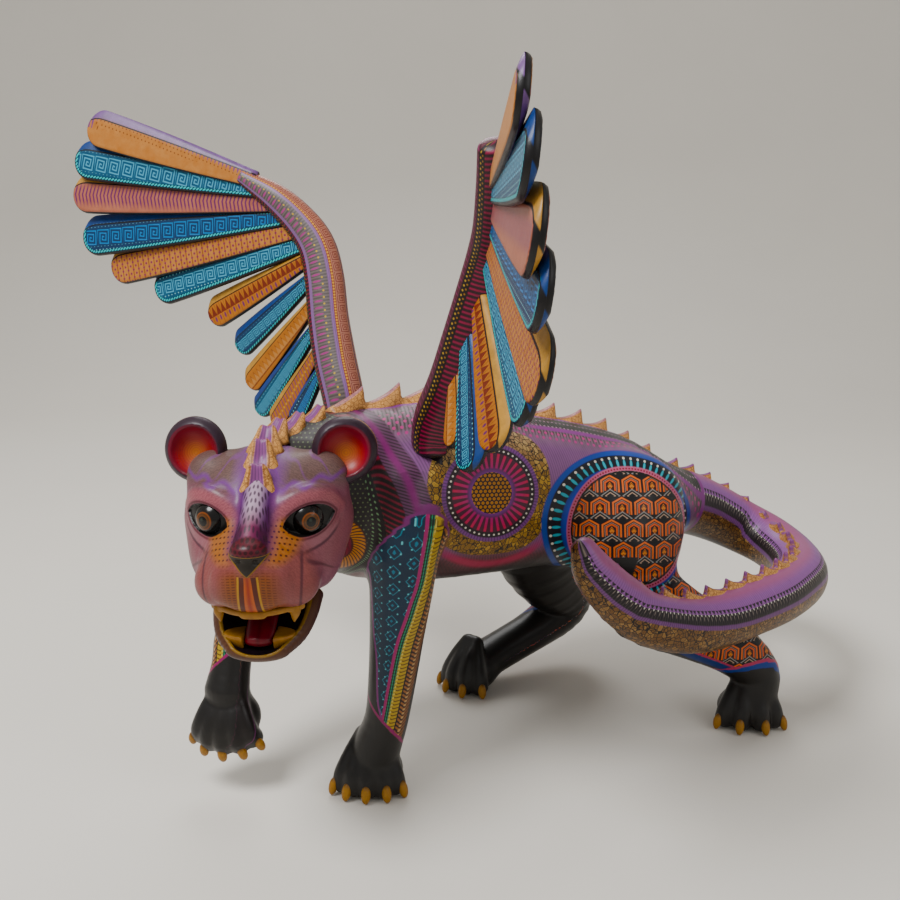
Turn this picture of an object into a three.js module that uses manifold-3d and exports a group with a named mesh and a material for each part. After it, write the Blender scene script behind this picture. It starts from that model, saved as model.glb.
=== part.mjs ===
// Alebrije figure: a carved and painted wooden winged cat, prowling with one forepaw raised.
// Millimetres, +Z up, head toward -Y, the animal's left side toward +X, paws on z = 0.
// Torso, head, legs, tail, ears, crests and wings are separate carvings, glued on dowels;
// the two wings stand in square sockets and lift out.
import * as THREE from 'three';
import { mergeVertices } from 'three/addons/utils/BufferGeometryUtils.js';
import Module from 'manifold-3d';

const wasm = await Module();
wasm.setup();
const { Manifold, Mesh } = wasm;

// ---- Driving dimensions ------------------------------------------------------------------
const GAP = 0.3; // glue and paint gap between neighbouring pieces
const SMOOTH = 0.2; // smallest facet step that is kept
const CENTRE = new THREE.Vector3(0, -87.8, 0); // moves the figure so that its box stands centred
const DOWEL = 8; // dowel radius
const SHOULDER = [48, -42, 238];
const TENON = 16; // side of the square tenon under each wing
const TENON_DEPTH = 34;

const HEAD = { at: [34, -158.9, 240], yaw: 52 };
const EYE = { at: [29.3, -33.5, 6.5], radius: 12.5 };
const EAR = { left: 52, right: -48.5, back: 4, up: 43, radius: 22, thickness: 13 };
const FEATHER_THICKNESS = 7.5;

// Stations along each carving: x, y, z, half width, half height (the same when left out).
const TORSO = [
  [24, -128, 243, 45, 47],
  [10, -106, 240, 53, 56],
  [0, -78, 236, 62, 61],
  [0, -45, 229, 67, 67],
  [0, 0, 224, 69, 71],
  [0, 60, 213, 66, 67],
  [0, 120, 203, 63, 63],
  [0, 180, 187, 60, 61],
  [0, 225, 176, 52, 50],
  [0, 252, 171, 40, 40],
];

const LEGS = {
  front_left: {
    line: [
      [50, -56, 236, 30, 28],
      [57, -60, 222, 29, 25],
      [56, -63, 200, 27, 24],
      [52, -63, 169, 24, 22],
      [46, -63, 134, 21, 19.5],
      [41, -64, 99, 18.5, 18],
      [35, -66, 62, 16.5, 17],
      [27, -70, 36, 18, 19],
      [24, -72, 24, 18, 20],
    ],
    paw: { at: [21, -72, -2], yaw: 48, pitch: 0, toes: 5, width: 29 },
  },
  front_right: {
    line: [
      [-50, -42, 232, 30, 28],
      [-60, -60, 202, 28, 25],
      [-65, -90, 174, 24, 21],
      [-63, -122, 146, 20, 18],
      [-57, -143, 120, 16, 16],
      [-51, -151, 99, 15, 15],
      [-48, -157, 80, 17, 18],
    ],
    paw: { at: [-53, -150, 43], yaw: 42, pitch: 38, toes: 5, width: 29 },
  },
  rear_left: {
    line: [
      [50, 182, 200, 46, 38],
      [60, 168, 180, 50, 40],
      [70, 154, 150, 46, 36],
      [84, 162, 120, 37, 29],
      [99, 194, 97, 29, 25],
      [115, 234, 72, 24, 22],
      [128, 256, 48, 20, 20],
      [130, 254, 28, 19, 20],
    ],
    paw: { at: [127, 250, -2], yaw: 50, pitch: 0, toes: 4, width: 30 },
  },
  rear_right: {
    line: [
      [-46, 162, 196, 49, 40],
      [-55, 164, 150, 51, 40],
      [-62, 184, 108, 41, 33],
      [-68, 212, 72, 29, 27],
      [-71, 206, 53, 23, 23],
      [-73, 178, 40, 19, 20],
      [-75, 144, 30, 18, 19],
      [-76, 112, 22, 17, 21],
    ],
    paw: { at: [-76, 103, -2], yaw: 14, pitch: 0, toes: 4, width: 26 },
  },
};

const TAIL = [
  [0, 250, 174, 33],
  [0, 275, 170, 32],
  [0, 305, 162, 30],
  [4, 338, 148, 28],
  [17, 366, 132, 26],
  [46, 376, 121, 25],
  [84, 361, 115, 24.5],
  [118, 326, 116, 24],
  [138, 277, 118, 23.5],
  [148, 224, 120, 23],
  [150, 153, 121, 22],
  [147, 101, 136, 20.5],
  [141, 74, 156, 19.5],
  [135, 52, 180, 16],
  [131, 44, 198, 10],
];

// Wing frame: u runs outward along the feathers, v up, w forward.
const WING = { at: [54, -14, 273], u: [0.874, -0.486, 0], v: [0, 0, 1] };
const WING_ARM = [
  [15.5, 0, 21, 15.5, 13.5],
  [16, 9, 20.5, 16.5, 14.5],
  [20, 24, 17.5, 17.5, 15],
  [31, 50, 9, 18, 15],
  [40.5, 80, 1, 17.5, 14],
  [48, 112, -7, 17, 13.5],
  [57, 136, -12, 16, 13],
  [72, 155, -13, 14.5, 12],
  [94, 174, -11, 12, 10.5],
  [122, 191, -7, 6.5, 6.5],
];
// The left one is stouter and ends higher.
const LEFT_WING_ARM = [
  [15.5, 0, 21, 15.5, 13.5],
  [16, 9, 20.5, 16.5, 14.5],
  [20, 24, 17, 17.5, 16],
  [31, 50, 7.5, 18, 17],
  [40.5, 80, -1, 17.5, 17.5],
  [49, 112, -9.5, 17, 17.5],
  [58, 136, -14.5, 16, 17],
  [72, 156, -15.5, 15, 16],
  [90, 181, -13, 13, 14.5],
  [104, 205, -9, 11, 12],
];
const TENON_AT = [15.5, 21]; // u, w of the tenon's centre line
// Root u, v and tip u, v, w, the width over the tip, and on the left how far the face turns outward.
const FEATHERS = {
  left: [
    [110, 188, 265, 228, 8, 34],
    [106, 180, 282, 196, 7, 40],
    [97, 169, 285, 158, 4, 42],
    [86, 158, 283, 128, 0, 38],
    [74, 146, 258, 84, -6, 36, 0.15],
    [72, 133, 212, 60, -8, 30, 0.3],
    [60, 110, 135, 24, -5, 29, 0.5],
    [52, 86, 110, 5, 7, 27, 0.5],
    [43, 60, 80, 14, 13, 20, 0.5],
    [46, 84, 98, 36, -4, 13, 0.2],
    [42, 66, 84, 30, 0, 13, 0.2],
    [38, 50, 66, 24, 6, 12, 0.2],
  ],
  right: [
    [110, 188, 265, 233, 8, 28],
    [106, 180, 282, 206, 7, 29],
    [97, 169, 289, 177, 4, 30],
    [86, 158, 285, 139, 0, 31],
    [74, 148, 261, 113, -6, 30],
    [66, 138, 219, 95, -11, 28],
    [60, 127, 166, 73, -15, 24],
    [54, 114, 140, 47, -17, 20],
    [50, 96, 128, 16, -14, 19],
    [46, 78, 116, -6, -9, 17],
    [42, 60, 97, -14, -4, 16],
    [38, 44, 75, -10, 1, 15],
  ],
};

const PAINT = {
  torso: ['#8a5878', 0.6],
  head: ['#9c6a7c', 0.6],
  leg: ['#2a3558', 0.6],
  black: ['#161416', 0.5],
  tail: ['#4a3440', 0.6],
  crest: ['#c98a4a', 0.6],
  arm: ['#8c5a76', 0.6],
  orange: ['#c97b3f', 0.6],
  blue: ['#1f6f93', 0.6],
  ear: ['#a8324a', 0.6],
  gold: ['#c79a3c', 0.6],
  tongue: ['#8c1730', 0.5],
  wood: ['#c8a878', 0.8],
  glass: ['#2a1c14', 0.1],
};

// ---- Helpers ------------------------------------------------------------------------------
const vec = (a) => new THREE.Vector3(a[0], a[1], a[2]);

// A closed three.js geometry as a solid that can be joined and cut.
function solid(geometry) {
  const bare = geometry.clone();
  bare.deleteAttribute('normal');
  bare.deleteAttribute('uv');
  const merged = mergeVertices(bare, 1e-4);
  const made = new Manifold(
    new Mesh({
      numProp: 3,
      vertProperties: new Float32Array(merged.attributes.position.array),
      triVerts: new Uint32Array(merged.index.array),
    }),
  );
  return made;
}

function geometryOf(body) {
  const mesh = body.getMesh();
  const geometry = new THREE.BufferGeometry();
  const points = new Float32Array(mesh.numVert * 3);
  for (let i = 0; i < mesh.numVert; i += 1) {
    for (let k = 0; k < 3; k += 1) points[3 * i + k] = mesh.vertProperties[i * mesh.numProp + k];
  }
  geometry.setAttribute('position', new THREE.BufferAttribute(points, 3));
  geometry.setIndex(new THREE.BufferAttribute(new Uint32Array(mesh.triVerts), 1));
  return geometry.toNonIndexed();
}

const join = (parts) => parts.reduce((a, b) => a.add(b));
const largest = (body) => body.decompose().reduce((a, b) => (b.volume() > a.volume() ? b : a));

function mirrored(body) {
  return body.mirror([1, 0, 0]);
}

// Rings of an elliptic loft: centres and half sizes, with rounded ends.
function ringsAlong(stations, steps, round, grow) {
  const spine = new THREE.CatmullRomCurve3(stations.map(vec));
  const sizes = new THREE.CatmullRomCurve3(
    stations.map(([, , , a, b = a]) => new THREE.Vector3(a + grow, b + grow, 0)),
  );
  const rings = [];
  for (let i = 0; i <= steps; i += 1) {
    const t = i / steps;
    const size = sizes.getPoint(t);
    rings.push({ at: spine.getPoint(t), along: spine.getTangent(t), a: size.x, b: size.y });
  }
  const cap = (ring, sign) =>
    [0.5, 0.85, 1].map((s) => {
      const c = Math.sqrt(1 - s * s);
      const reach = sign * s * round * Math.min(ring.a, ring.b);
      const at = ring.at.clone().addScaledVector(ring.along, reach);
      return { at, along: ring.along, a: ring.a * c, b: ring.b * c };
    });
  return [
    ...cap(rings[0], -1).reverse(),
    ...rings,
    ...cap(rings[rings.length - 1], 1),
  ];
}

// A round-ended carving along its stations. `up` fixes which way the second half size points.
function carve(stations, { up, sides = 14, steps = 14, round = 0.7, grow = 0 }) {
  const rings = ringsAlong(stations, steps, round, grow);
  const last = rings.length - 1;
  const geometry = new THREE.CylinderGeometry(1, 1, 1, sides, last);
  const points = geometry.attributes.position;
  const frames = rings.map(({ along }) => {
    const across = new THREE.Vector3().crossVectors(up, along).normalize();
    return { across, over: new THREE.Vector3().crossVectors(along, across) };
  });
  for (let i = 0; i < points.count; i += 1) {
    const k = Math.round((0.5 - points.getY(i)) * last);
    const { at, a, b } = rings[k];
    const point = at
      .clone()
      .addScaledVector(frames[k].across, a * points.getX(i))
      .addScaledVector(frames[k].over, b * points.getZ(i));
    points.setXYZ(i, point.x, point.y, point.z);
  }
  return solid(geometry);
}

function ball(at, size, { turn = [0, 0, 0], sides = 14, rings = 10, grow = 0 } = {}) {
  const geometry = new THREE.SphereGeometry(1, sides, rings);
  geometry.rotateX(Math.PI / 2);
  geometry.scale(size[0] + grow, size[1] + grow, size[2] + grow);
  const place = new THREE.Matrix4().makeRotationFromEuler(
    new THREE.Euler(...turn.map(THREE.MathUtils.degToRad), 'XYZ'),
  );
  place.setPosition(vec(at));
  return solid(geometry.applyMatrix4(place));
}

function block(at, size) {
  return solid(new THREE.BoxGeometry(...size).translate(...at));
}

// A round peg from one point to another.
function peg(from, to, radius, sides = 16) {
  const a = vec(from);
  const b = vec(to);
  const geometry = new THREE.CylinderGeometry(radius, radius, a.distanceTo(b), sides);
  const place = new THREE.Matrix4().makeRotationFromQuaternion(
    new THREE.Quaternion().setFromUnitVectors(
      new THREE.Vector3(0, 1, 0),
      b.clone().sub(a).normalize(),
    ),
  );
  place.setPosition(a.add(b).multiplyScalar(0.5));
  return solid(geometry.applyMatrix4(place));
}

function placed(body, matrix) {
  return body.transform(matrix.elements);
}

// ---- Torso ----------------------------------------------------------------------------------
const Z = new THREE.Vector3(0, 0, 1);
const X = new THREE.Vector3(1, 0, 0);
function torsoShape(grow) {
  const barrel = carve(TORSO, { up: Z, sides: 16, steps: 12, round: 0.55, grow });
  const shoulders = [-1, 1].map((s) =>
    ball([s * SHOULDER[0], SHOULDER[1], SHOULDER[2]], [24, 34, 33], { sides: 10, rings: 8, grow }),
  );
  return join([barrel, ...shoulders]);
}

// ---- Head, in its own frame: the muzzle points along -Y ------------------------------------------
const headFrame = new THREE.Matrix4()
  .makeRotationZ(THREE.MathUtils.degToRad(HEAD.yaw))
  .setPosition(vec(HEAD.at));

function headShape(grow) {
  const skull = ball([0, 3, -2], [57, 54, 48], { sides: 14, rings: 10, grow });
  const muzzle = carve(
    [
      [0, -14, -14, 45, 36],
      [0, -40, -19, 37, 31],
      [0, -58, -22, 31.5, 26],
      [0, -71, -25, 26, 22],
    ],
    { up: Z, sides: 14, steps: 4, round: 0.5, grow },
  );
  const nose = ball([0, -74, -9], [11, 11, 8], { turn: [-25, 0, 0], sides: 8, rings: 5, grow });
  const brows = [-1, 1].map((s) =>
    ball([s * 28, -33, 22], [18, 13, 9], { turn: [0, s * 14, -s * 18], sides: 8, rings: 5, grow }),
  );
  const cheeks = [-1, 1].map((s) =>
    ball([s * 32, -14, -25], [17, 26, 23], { sides: 10, rings: 6, grow }),
  );
  return join([skull, muzzle, nose, ...brows, ...cheeks]);
}

// The mouth is a wedge that opens forward below the upper lip.
function mouthWedge() {
  const side = new THREE.Shape();
  side.moveTo(12, -46);
  side.lineTo(110, -46);
  side.lineTo(110, -160);
  side.lineTo(12, -80);
  side.closePath();
  const geometry = new THREE.ExtrudeGeometry(side, { depth: 160, bevelEnabled: false });
  geometry.translate(0, 0, -80);
  geometry.rotateX(Math.PI / 2);
  geometry.rotateZ(-Math.PI / 2);
  return solid(geometry);
}

const JAW = [
  [0, -10, -55, 37, 12],
  [0, -28, -63, 35, 12],
  [0, -45, -70.5, 30, 11],
  [0, -58, -76, 21, 8],
];
const TROUGH = [
  [0, -13, -44, 31, 10],
  [0, -30, -53, 30, 10.5],
  [0, -46, -61.5, 25.5, 11.5],
  [0, -59, -67.5, 17, 10],
];
const jawShape = (grow) => carve(JAW, { up: Z, sides: 12, steps: 5, round: 0.8, grow });
const jawTrough = (grow = 0) =>
  carve(TROUGH, { up: Z, sides: 12, steps: 4, round: 0.8, grow });

function ear(side, grow) {
  const at = side > 0 ? EAR.left : EAR.right;
  const turn = [-8, 0, side * 14];
  const shell = ball([at, EAR.back, EAR.up], [EAR.radius, EAR.thickness, EAR.radius], {
    turn,
    sides: 12,
    rings: 8,
    grow,
  });
  const hollow = ball([at + side * 1, EAR.back - 14, EAR.up + 1], [18, 15, 18.5], {
    turn,
    sides: 12,
    rings: 8,
  });
  return grow ? shell : shell.subtract(hollow);
}

// ---- Legs ---------------------------------------------------------------------------------------
function paw({ at, yaw, pitch, toes, width }) {
  const parts = [ball([0, -2, 19], [width * 0.8, 24, 19], { sides: 8, rings: 6 })];
  for (let i = 0; i < toes; i += 1) {
    const turn = ((i / (toes - 1)) * 2 - 1) * 1.0;
    const out = [Math.sin(turn), -Math.cos(turn)];
    const reach = [out[0] * (width - 8), out[1] * 13 - 1];
    parts.push(
      ball([reach[0], reach[1], 12.5], [7.6, 12.5, 12.2], {
        turn: [0, 0, THREE.MathUtils.radToDeg(turn)],
        sides: 6,
        rings: 4,
      }),
    );
    parts.push(
      ball([reach[0] + out[0] * 10.5, reach[1] + out[1] * 10.5, 6.5], [2.8, 3.2, 6.2], {
        turn: [0, 0, THREE.MathUtils.radToDeg(turn)],
        sides: 4,
        rings: 3,
      }),
    );
  }
  const frame = new THREE.Matrix4()
    .makeRotationZ(THREE.MathUtils.degToRad(yaw))
    .multiply(new THREE.Matrix4().makeRotationX(THREE.MathUtils.degToRad(pitch)))
    .setPosition(vec(at));
  return placed(join(parts), frame);
}

// The block below the floor flattens the soles.
const underFloor = block([0, 60, -50], [900, 1200, 100]);
const legShape = (leg) =>
  carve(leg.line, { up: X, sides: 10, steps: 8, round: 0.6 })
    .add(paw(leg.paw))
    .subtract(underFloor);

// ---- Crests: a low ridge with a row of backward-leaning spikes ---------------------------------------
function crest(path, { from, to, count, size, width, height = 0.5, end = 1 }) {
  const curve = new THREE.CatmullRomCurve3(path.map(({ at }) => at));
  const leans = new THREE.CatmullRomCurve3(path.map(({ up }) => up));
  const ridge = [];
  const slices = Math.max(5, Math.round(count * 0.6));
  for (let i = 0; i <= slices; i += 1) {
    const t = Math.min(1, from + ((to - from) * i) / slices);
    const fade = 1 + (end - 1) * (i / slices);
    const at = curve.getPointAt(t).addScaledVector(leans.getPoint(t).normalize(), 1);
    ridge.push([at.x, at.y, at.z, width * fade, width * height * fade]);
  }
  const parts = [carve(ridge, { up: Z, sides: 5, steps: slices, round: 0.6 })];
  for (let i = 0; i < count; i += 1) {
    const t = from + ((to - from) * (i + 0.6)) / count;
    const fade = 1 + (end - 1) * (i / count);
    const up = leans.getPoint(t).normalize();
    const along = curve.getTangentAt(t);
    const side = new THREE.Vector3().crossVectors(along, up).normalize();
    const spike = new THREE.ConeGeometry(1, 2, 4).scale(
      width * 0.62 * fade,
      size * 0.5 * fade,
      size * 0.62 * fade,
    );
    const lean = up.clone().addScaledVector(along, 0.45).normalize();
    const fore = new THREE.Vector3().crossVectors(side, lean);
    const frame = new THREE.Matrix4().makeBasis(side, lean, fore);
    frame.setPosition(curve.getPointAt(t).addScaledVector(lean, size * 0.5 * fade));
    parts.push(placed(solid(spike), frame));
  }
  return join(parts);
}

function topOf(stations, tilt = () => [0, 0, 1]) {
  return stations.map(([x, y, z, a, b = a], i) => {
    const up = vec(tilt(i)).normalize();
    const reach = Math.hypot(Math.hypot(up.x, up.y) * a, up.z * b);
    return { at: new THREE.Vector3(x, y, z).addScaledVector(up, reach), up };
  });
}

// ---- Wings, drawn on the left and mirrored ------------------------------------------------------------
const wingFrame = new THREE.Matrix4().makeBasis(
  vec(WING.u),
  vec(WING.v),
  new THREE.Vector3().crossVectors(vec(WING.u), vec(WING.v)),
);
wingFrame.setPosition(vec(WING.at));

// Distance of the arm's centre plane, forward of the wing plane, at a height on the arm.
function armDepth(v) {
  const i = WING_ARM.findIndex((s) => s[1] > v);
  const [a, b] = i < 1 ? WING_ARM.slice(-2) : [WING_ARM[i - 1], WING_ARM[i]];
  const t = (v - a[1]) / (b[1] - a[1]);
  return a[2] + (b[2] - a[2]) * t;
}

function armShape(grow, side) {
  const arm = carve(side === 'left' ? LEFT_WING_ARM : WING_ARM, {
    up: Z,
    sides: 10,
    steps: 10,
    round: 0.5,
    grow,
  });
  return placed(arm, wingFrame);
}

function tenonShape(grow) {
  const side = TENON + 2 * grow;
  const depth = TENON_DEPTH + grow;
  return placed(block([TENON_AT[0], -3 - depth / 2, TENON_AT[1]], [side, depth, side]), wingFrame);
}

function feather([u0, v0, u1, v1, w1, width, turn = 0], grow) {
  const root = new THREE.Vector3(u0, v0, armDepth(v0));
  const tip = new THREE.Vector3(u1, v1, w1);
  const along = tip.clone().sub(root);
  const length = along.length() + grow;
  along.normalize();
  const half = width / 2 + grow;
  const shape = new THREE.Shape();
  shape.moveTo(0, -half * 0.45);
  shape.quadraticCurveTo(length * 0.45, -half * 0.75, length - half, -half);
  shape.absarc(length - half, 0, half, -Math.PI / 2, Math.PI / 2, false);
  shape.quadraticCurveTo(length * 0.45, half * 0.75, 0, half * 0.45);
  shape.closePath();
  const depth = FEATHER_THICKNESS + 2 * grow;
  const slat = new THREE.ExtrudeGeometry(shape, { depth, bevelEnabled: false, curveSegments: 4 });
  slat.translate(0, 0, -depth / 2);
  const face = new THREE.Vector3(turn, 0.12, 1);
  const across = new THREE.Vector3().crossVectors(face, along).normalize();
  const frame = new THREE.Matrix4().makeBasis(
    along,
    across,
    new THREE.Vector3().crossVectors(along, across),
  );
  frame.setPosition(root);
  return placed(placed(solid(slat), frame), wingFrame);
}

// ---- Assembly ------------------------------------------------------------------------------------------
const group = new THREE.Group();
group.name = 'alebrije_figure';

function add(name, body, paint, clear = 1) {
  const [colour, roughness] = PAINT[paint];
  const material = new THREE.MeshStandardMaterial({ color: colour, roughness, metalness: 0 });
  const geometry = geometryOf(body.simplify(SMOOTH));
  geometry.translate(CENTRE.x, CENTRE.y, CENTRE.z);
  geometry.computeVertexNormals();
  const mesh = new THREE.Mesh(geometry, material);
  mesh.name = name;
  if (clear < 1) material.opacity = clear;
  group.add(mesh);
}

const head = (grow = 0) => placed(headShape(grow), headFrame);
const inHead = (body) => placed(body, headFrame);
const headPoint = (p) => vec(p).applyMatrix4(headFrame).toArray();

// Dowels: from inside the torso into each glued-on carving.
const DOWELS = {
  neck_dowel: [[3, -66, 236], headPoint([0, 18, 0])],
  tail_dowel: [[0, 225, 174], [0, 292, 165]],
  front_left_dowel: [[24, -52, 232], [66, -60, 208]],
  front_right_dowel: [[-24, -46, 226], [-66, -76, 186]],
  rear_left_dowel: [[20, 178, 190], [82, 160, 162]],
  rear_right_dowel: [[-18, 172, 186], [-58, 182, 140]],
};
const bores = join(Object.values(DOWELS).map(([a, b]) => {
  const way = vec(b).sub(vec(a)).normalize().multiplyScalar(GAP);
  return peg(vec(a).sub(way).toArray(), vec(b).add(way).toArray(), DOWEL + GAP);
}));

const torsoGrown = torsoShape(GAP);
const headGrown = head(GAP);
const armsGrown = [armShape(GAP, 'left'), mirrored(armShape(GAP, 'right'))];
const sockets = [tenonShape(GAP), mirrored(tenonShape(GAP))];
const earsGrown = join([1, -1].map((s) => placed(ear(s, GAP), headFrame)));
const wingCut = join([...armsGrown, ...sockets]);
const torso = torsoShape(0).subtract(headGrown).subtract(earsGrown).subtract(wingCut);
add('torso', largest(torso.subtract(bores)), 'torso');

// Head with its eyes, ears, teeth, tongue and lower jaw.
const eyeAt = (s) => [s * EYE.at[0], EYE.at[1], EYE.at[2]];
const eyeBall = (s, grow) =>
  ball(eyeAt(s), [EYE.radius, EYE.radius, EYE.radius], { sides: 12, rings: 8, grow });
const jaw = jawShape(0).subtract(jawTrough());
const jawGrown = jawShape(GAP).subtract(jawTrough(-GAP));
const skull = headShape(0)
  .subtract(mouthWedge())
  .subtract(jawShape(GAP))
  .subtract(eyeBall(1, GAP))
  .subtract(eyeBall(-1, GAP))
  .subtract(ear(1, GAP))
  .subtract(ear(-1, GAP));
add('head', largest(inHead(skull).subtract(bores)), 'head');
add('lower_jaw', inHead(jaw), 'head');
[['left', 1], ['right', -1]].forEach(([side, s]) => {
  add(`eye_${side}`, inHead(eyeBall(s, 0)), 'glass', 0.8);
  add(`ear_${side}`, inHead(ear(s, 0)), 'ear');
});

const tongue = carve(
  [
    [0, -20, -53, 9.5, 4],
    [0, -38, -63, 9.5, 4.5],
    [0, -55, -71, 9, 4],
  ],
  { up: Z, sides: 8, steps: 4 },
);
add('tongue', inHead(tongue.subtract(jawGrown)), 'tongue');

// ---- Teeth ----
function upperTeeth() {
  const gum = carve(
    [-27, -18, -9, 0, 9, 18, 27].map((x) => [x, -64 + (x / 27) ** 2 * 16, -48.6, 3, 2.4]),
    { up: Z, sides: 6, steps: 6 },
  );
  const fangs = [-1, 1].map((s) =>
    solid(new THREE.ConeGeometry(4.2, 10, 6).rotateX(-Math.PI / 2).translate(s * 21, -54, -53)),
  );
  return join([gum, ...fangs]);
}

add('upper_teeth', inHead(upperTeeth()), 'gold');
[['left', 1], ['right', -1]].forEach(([side, s]) => {
  const bowl = ball([0, -48, -66.5], [24, 11, 14], { sides: 16, rings: 8 });
  const plate = bowl.intersect(block([s * 20, -48, -74], [20, 40, 15]));
  add(`lower_teeth_${side}`, inHead(plate.subtract(jawGrown)), 'gold');
});

// Legs.
Object.entries(LEGS).forEach(([name, leg]) => {
  const shape = legShape(leg).subtract(torsoGrown).subtract(wingCut).subtract(bores);
  add(`${name}_leg`, largest(shape), name === 'rear_right' ? 'black' : 'leg');
});

// Tail.
const tailShape = (grow) => carve(TAIL, { up: Z, sides: 10, steps: 18, round: 0.8, grow });
add('tail', largest(tailShape(0).subtract(torsoGrown).subtract(bores)), 'tail');

// Crests.
const headTop = [
  [0, -36, 24, 1, 1],
  [0, -22, 38, 1, 1],
  [0, -6, 47, 1, 1],
  [2, 14, 49, 1, 1],
  [12, 34, 50, 1, 1],
  [28, 53, 53, 1, 1],
].map(([x, y, z]) => {
  const at = vec([x, y, z]).applyMatrix4(headFrame);
  const up = new THREE.Vector3(0, y < -15 ? -0.75 : -0.1, 1).normalize();
  return { at, up: up.transformDirection(headFrame) };
});
const headCrest = crest(headTop, { from: 0, to: 1, count: 6, size: 19, width: 11 });
add('head_crest', largest(headCrest.subtract(headGrown).subtract(torsoGrown)), 'crest');

const spine = topOf(TORSO);
const backCrest = crest(spine, { from: 0.11, to: 1, count: 11, size: 20, width: 9 });
add('back_crest', largest(backCrest.subtract(torsoGrown).subtract(headGrown)), 'crest');

const tailTilt = (i) => (i < 5 ? [0, 0, 1] : i < 8 ? [-0.2, -0.25, 1] : [-0.14, 0, 1]);
const tailTop = topOf(TAIL, tailTilt);
const tailCrest = crest(tailTop, { from: 0.06, to: 0.97, count: 21, size: 15, width: 8, end: 0.75 });
add('tail_crest', largest(tailCrest.subtract(tailShape(GAP)).subtract(torsoGrown)), 'crest');

// Dowels.
Object.entries(DOWELS).forEach(([name, [a, b]]) => add(name, peg(a, b, DOWEL), 'wood'));

// Wings.
[['left', (b) => b], ['right', mirrored]].forEach(([side, turn]) => {
  add(`${side}_wing_arm`, turn(armShape(0, side).add(tenonShape(0))), 'arm');
  FEATHERS[side].forEach((row, i, rows) => {
    const cutters = [armShape(GAP, side), ...rows.slice(0, i).map((other) => feather(other, GAP))];
    const slat = largest(feather(row, 0).subtract(join(cutters)));
    const number = String(i + 1).padStart(2, '0');
    add(`${side}_feather_${number}`, turn(slat), i % 2 ? 'blue' : 'orange');
  });
});

export default group;
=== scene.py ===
"""Looks of the alebrije figure: carved wooden pieces under dense hand painting."""

import math

import bpy
import numpy as np
import openvdb
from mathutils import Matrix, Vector


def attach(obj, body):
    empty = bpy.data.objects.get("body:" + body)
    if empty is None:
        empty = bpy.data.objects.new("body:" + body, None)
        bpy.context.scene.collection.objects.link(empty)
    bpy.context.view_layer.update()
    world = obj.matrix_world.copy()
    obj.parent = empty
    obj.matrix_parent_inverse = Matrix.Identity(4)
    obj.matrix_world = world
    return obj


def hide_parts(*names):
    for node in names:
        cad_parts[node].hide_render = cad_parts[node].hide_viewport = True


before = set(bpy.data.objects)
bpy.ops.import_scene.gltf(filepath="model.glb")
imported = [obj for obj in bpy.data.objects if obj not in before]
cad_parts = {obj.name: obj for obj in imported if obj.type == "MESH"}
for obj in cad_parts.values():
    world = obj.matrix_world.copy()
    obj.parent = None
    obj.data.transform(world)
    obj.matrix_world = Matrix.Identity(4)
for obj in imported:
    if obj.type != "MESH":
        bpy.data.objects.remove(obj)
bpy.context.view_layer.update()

# ---- Driving dimensions, in millimetres in the figure's own frame --------------------------------
MM = 0.001
CENTRE = np.array([0.0, -87.8, 0.0])
SKIN_STEP = 1.6  # cell of the carved body
HEAD_STEP = 1.0  # cell of the head and ears

SHOULDER = (48, -42, 238)
HEAD_AT = np.array([34.0, -158.9, 240.0])
HEAD_YAW = math.radians(52.0)
EYE = (29.3, -33.5, 6.5)
EYE_RADIUS = 12.5
EYE_FLOOR = 8.8  # height of the painted almond round an eye, outward from the ball's centre

TORSO = [
    (24, -128, 243, 45, 47),
    (10, -106, 240, 53, 56),
    (0, -78, 236, 62, 61),
    (0, -45, 229, 67, 67),
    (0, 0, 224, 69, 71),
    (0, 60, 213, 66, 67),
    (0, 120, 203, 63, 63),
    (0, 180, 187, 60, 61),
    (0, 225, 176, 52, 50),
    (0, 252, 171, 40, 40),
]
LEGS = {
    "front_left": dict(
        line=[
            (50, -56, 236, 30, 28),
            (57, -60, 222, 29, 25),
            (56, -63, 200, 27, 24),
            (52, -63, 169, 24, 22),
            (46, -63, 134, 21, 19.5),
            (41, -64, 99, 18.5, 18),
            (35, -66, 62, 16.5, 17),
            (27, -70, 36, 18, 19),
            (24, -72, 24, 18, 20),
        ],
        paw=(21, -72, -2),
        yaw=48,
        pitch=0,
        toes=5,
        width=29,
    ),
    "front_right": dict(
        line=[
            (-50, -42, 232, 30, 28),
            (-60, -60, 202, 28, 25),
            (-65, -90, 174, 24, 21),
            (-63, -122, 146, 20, 18),
            (-57, -143, 120, 16, 16),
            (-51, -151, 99, 15, 15),
            (-48, -157, 80, 17, 18),
        ],
        paw=(-53, -150, 43),
        yaw=42,
        pitch=38,
        toes=5,
        width=29,
    ),
    "rear_left": dict(
        line=[
            (50, 182, 200, 46, 38),
            (60, 168, 180, 50, 40),
            (70, 154, 150, 46, 36),
            (84, 162, 120, 37, 29),
            (99, 194, 97, 29, 25),
            (115, 234, 72, 24, 22),
            (128, 256, 48, 20, 20),
            (130, 254, 28, 19, 20),
        ],
        paw=(127, 250, -2),
        yaw=50,
        pitch=0,
        toes=4,
        width=30,
    ),
    "rear_right": dict(
        line=[
            (-46, 162, 196, 49, 40),
            (-55, 164, 150, 51, 40),
            (-62, 184, 108, 41, 33),
            (-68, 212, 72, 29, 27),
            (-71, 206, 53, 23, 23),
            (-73, 178, 40, 19, 20),
            (-75, 144, 30, 18, 19),
            (-76, 112, 22, 17, 21),
        ],
        paw=(-76, 103, -2),
        yaw=14,
        pitch=0,
        toes=4,
        width=26,
    ),
}
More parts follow.
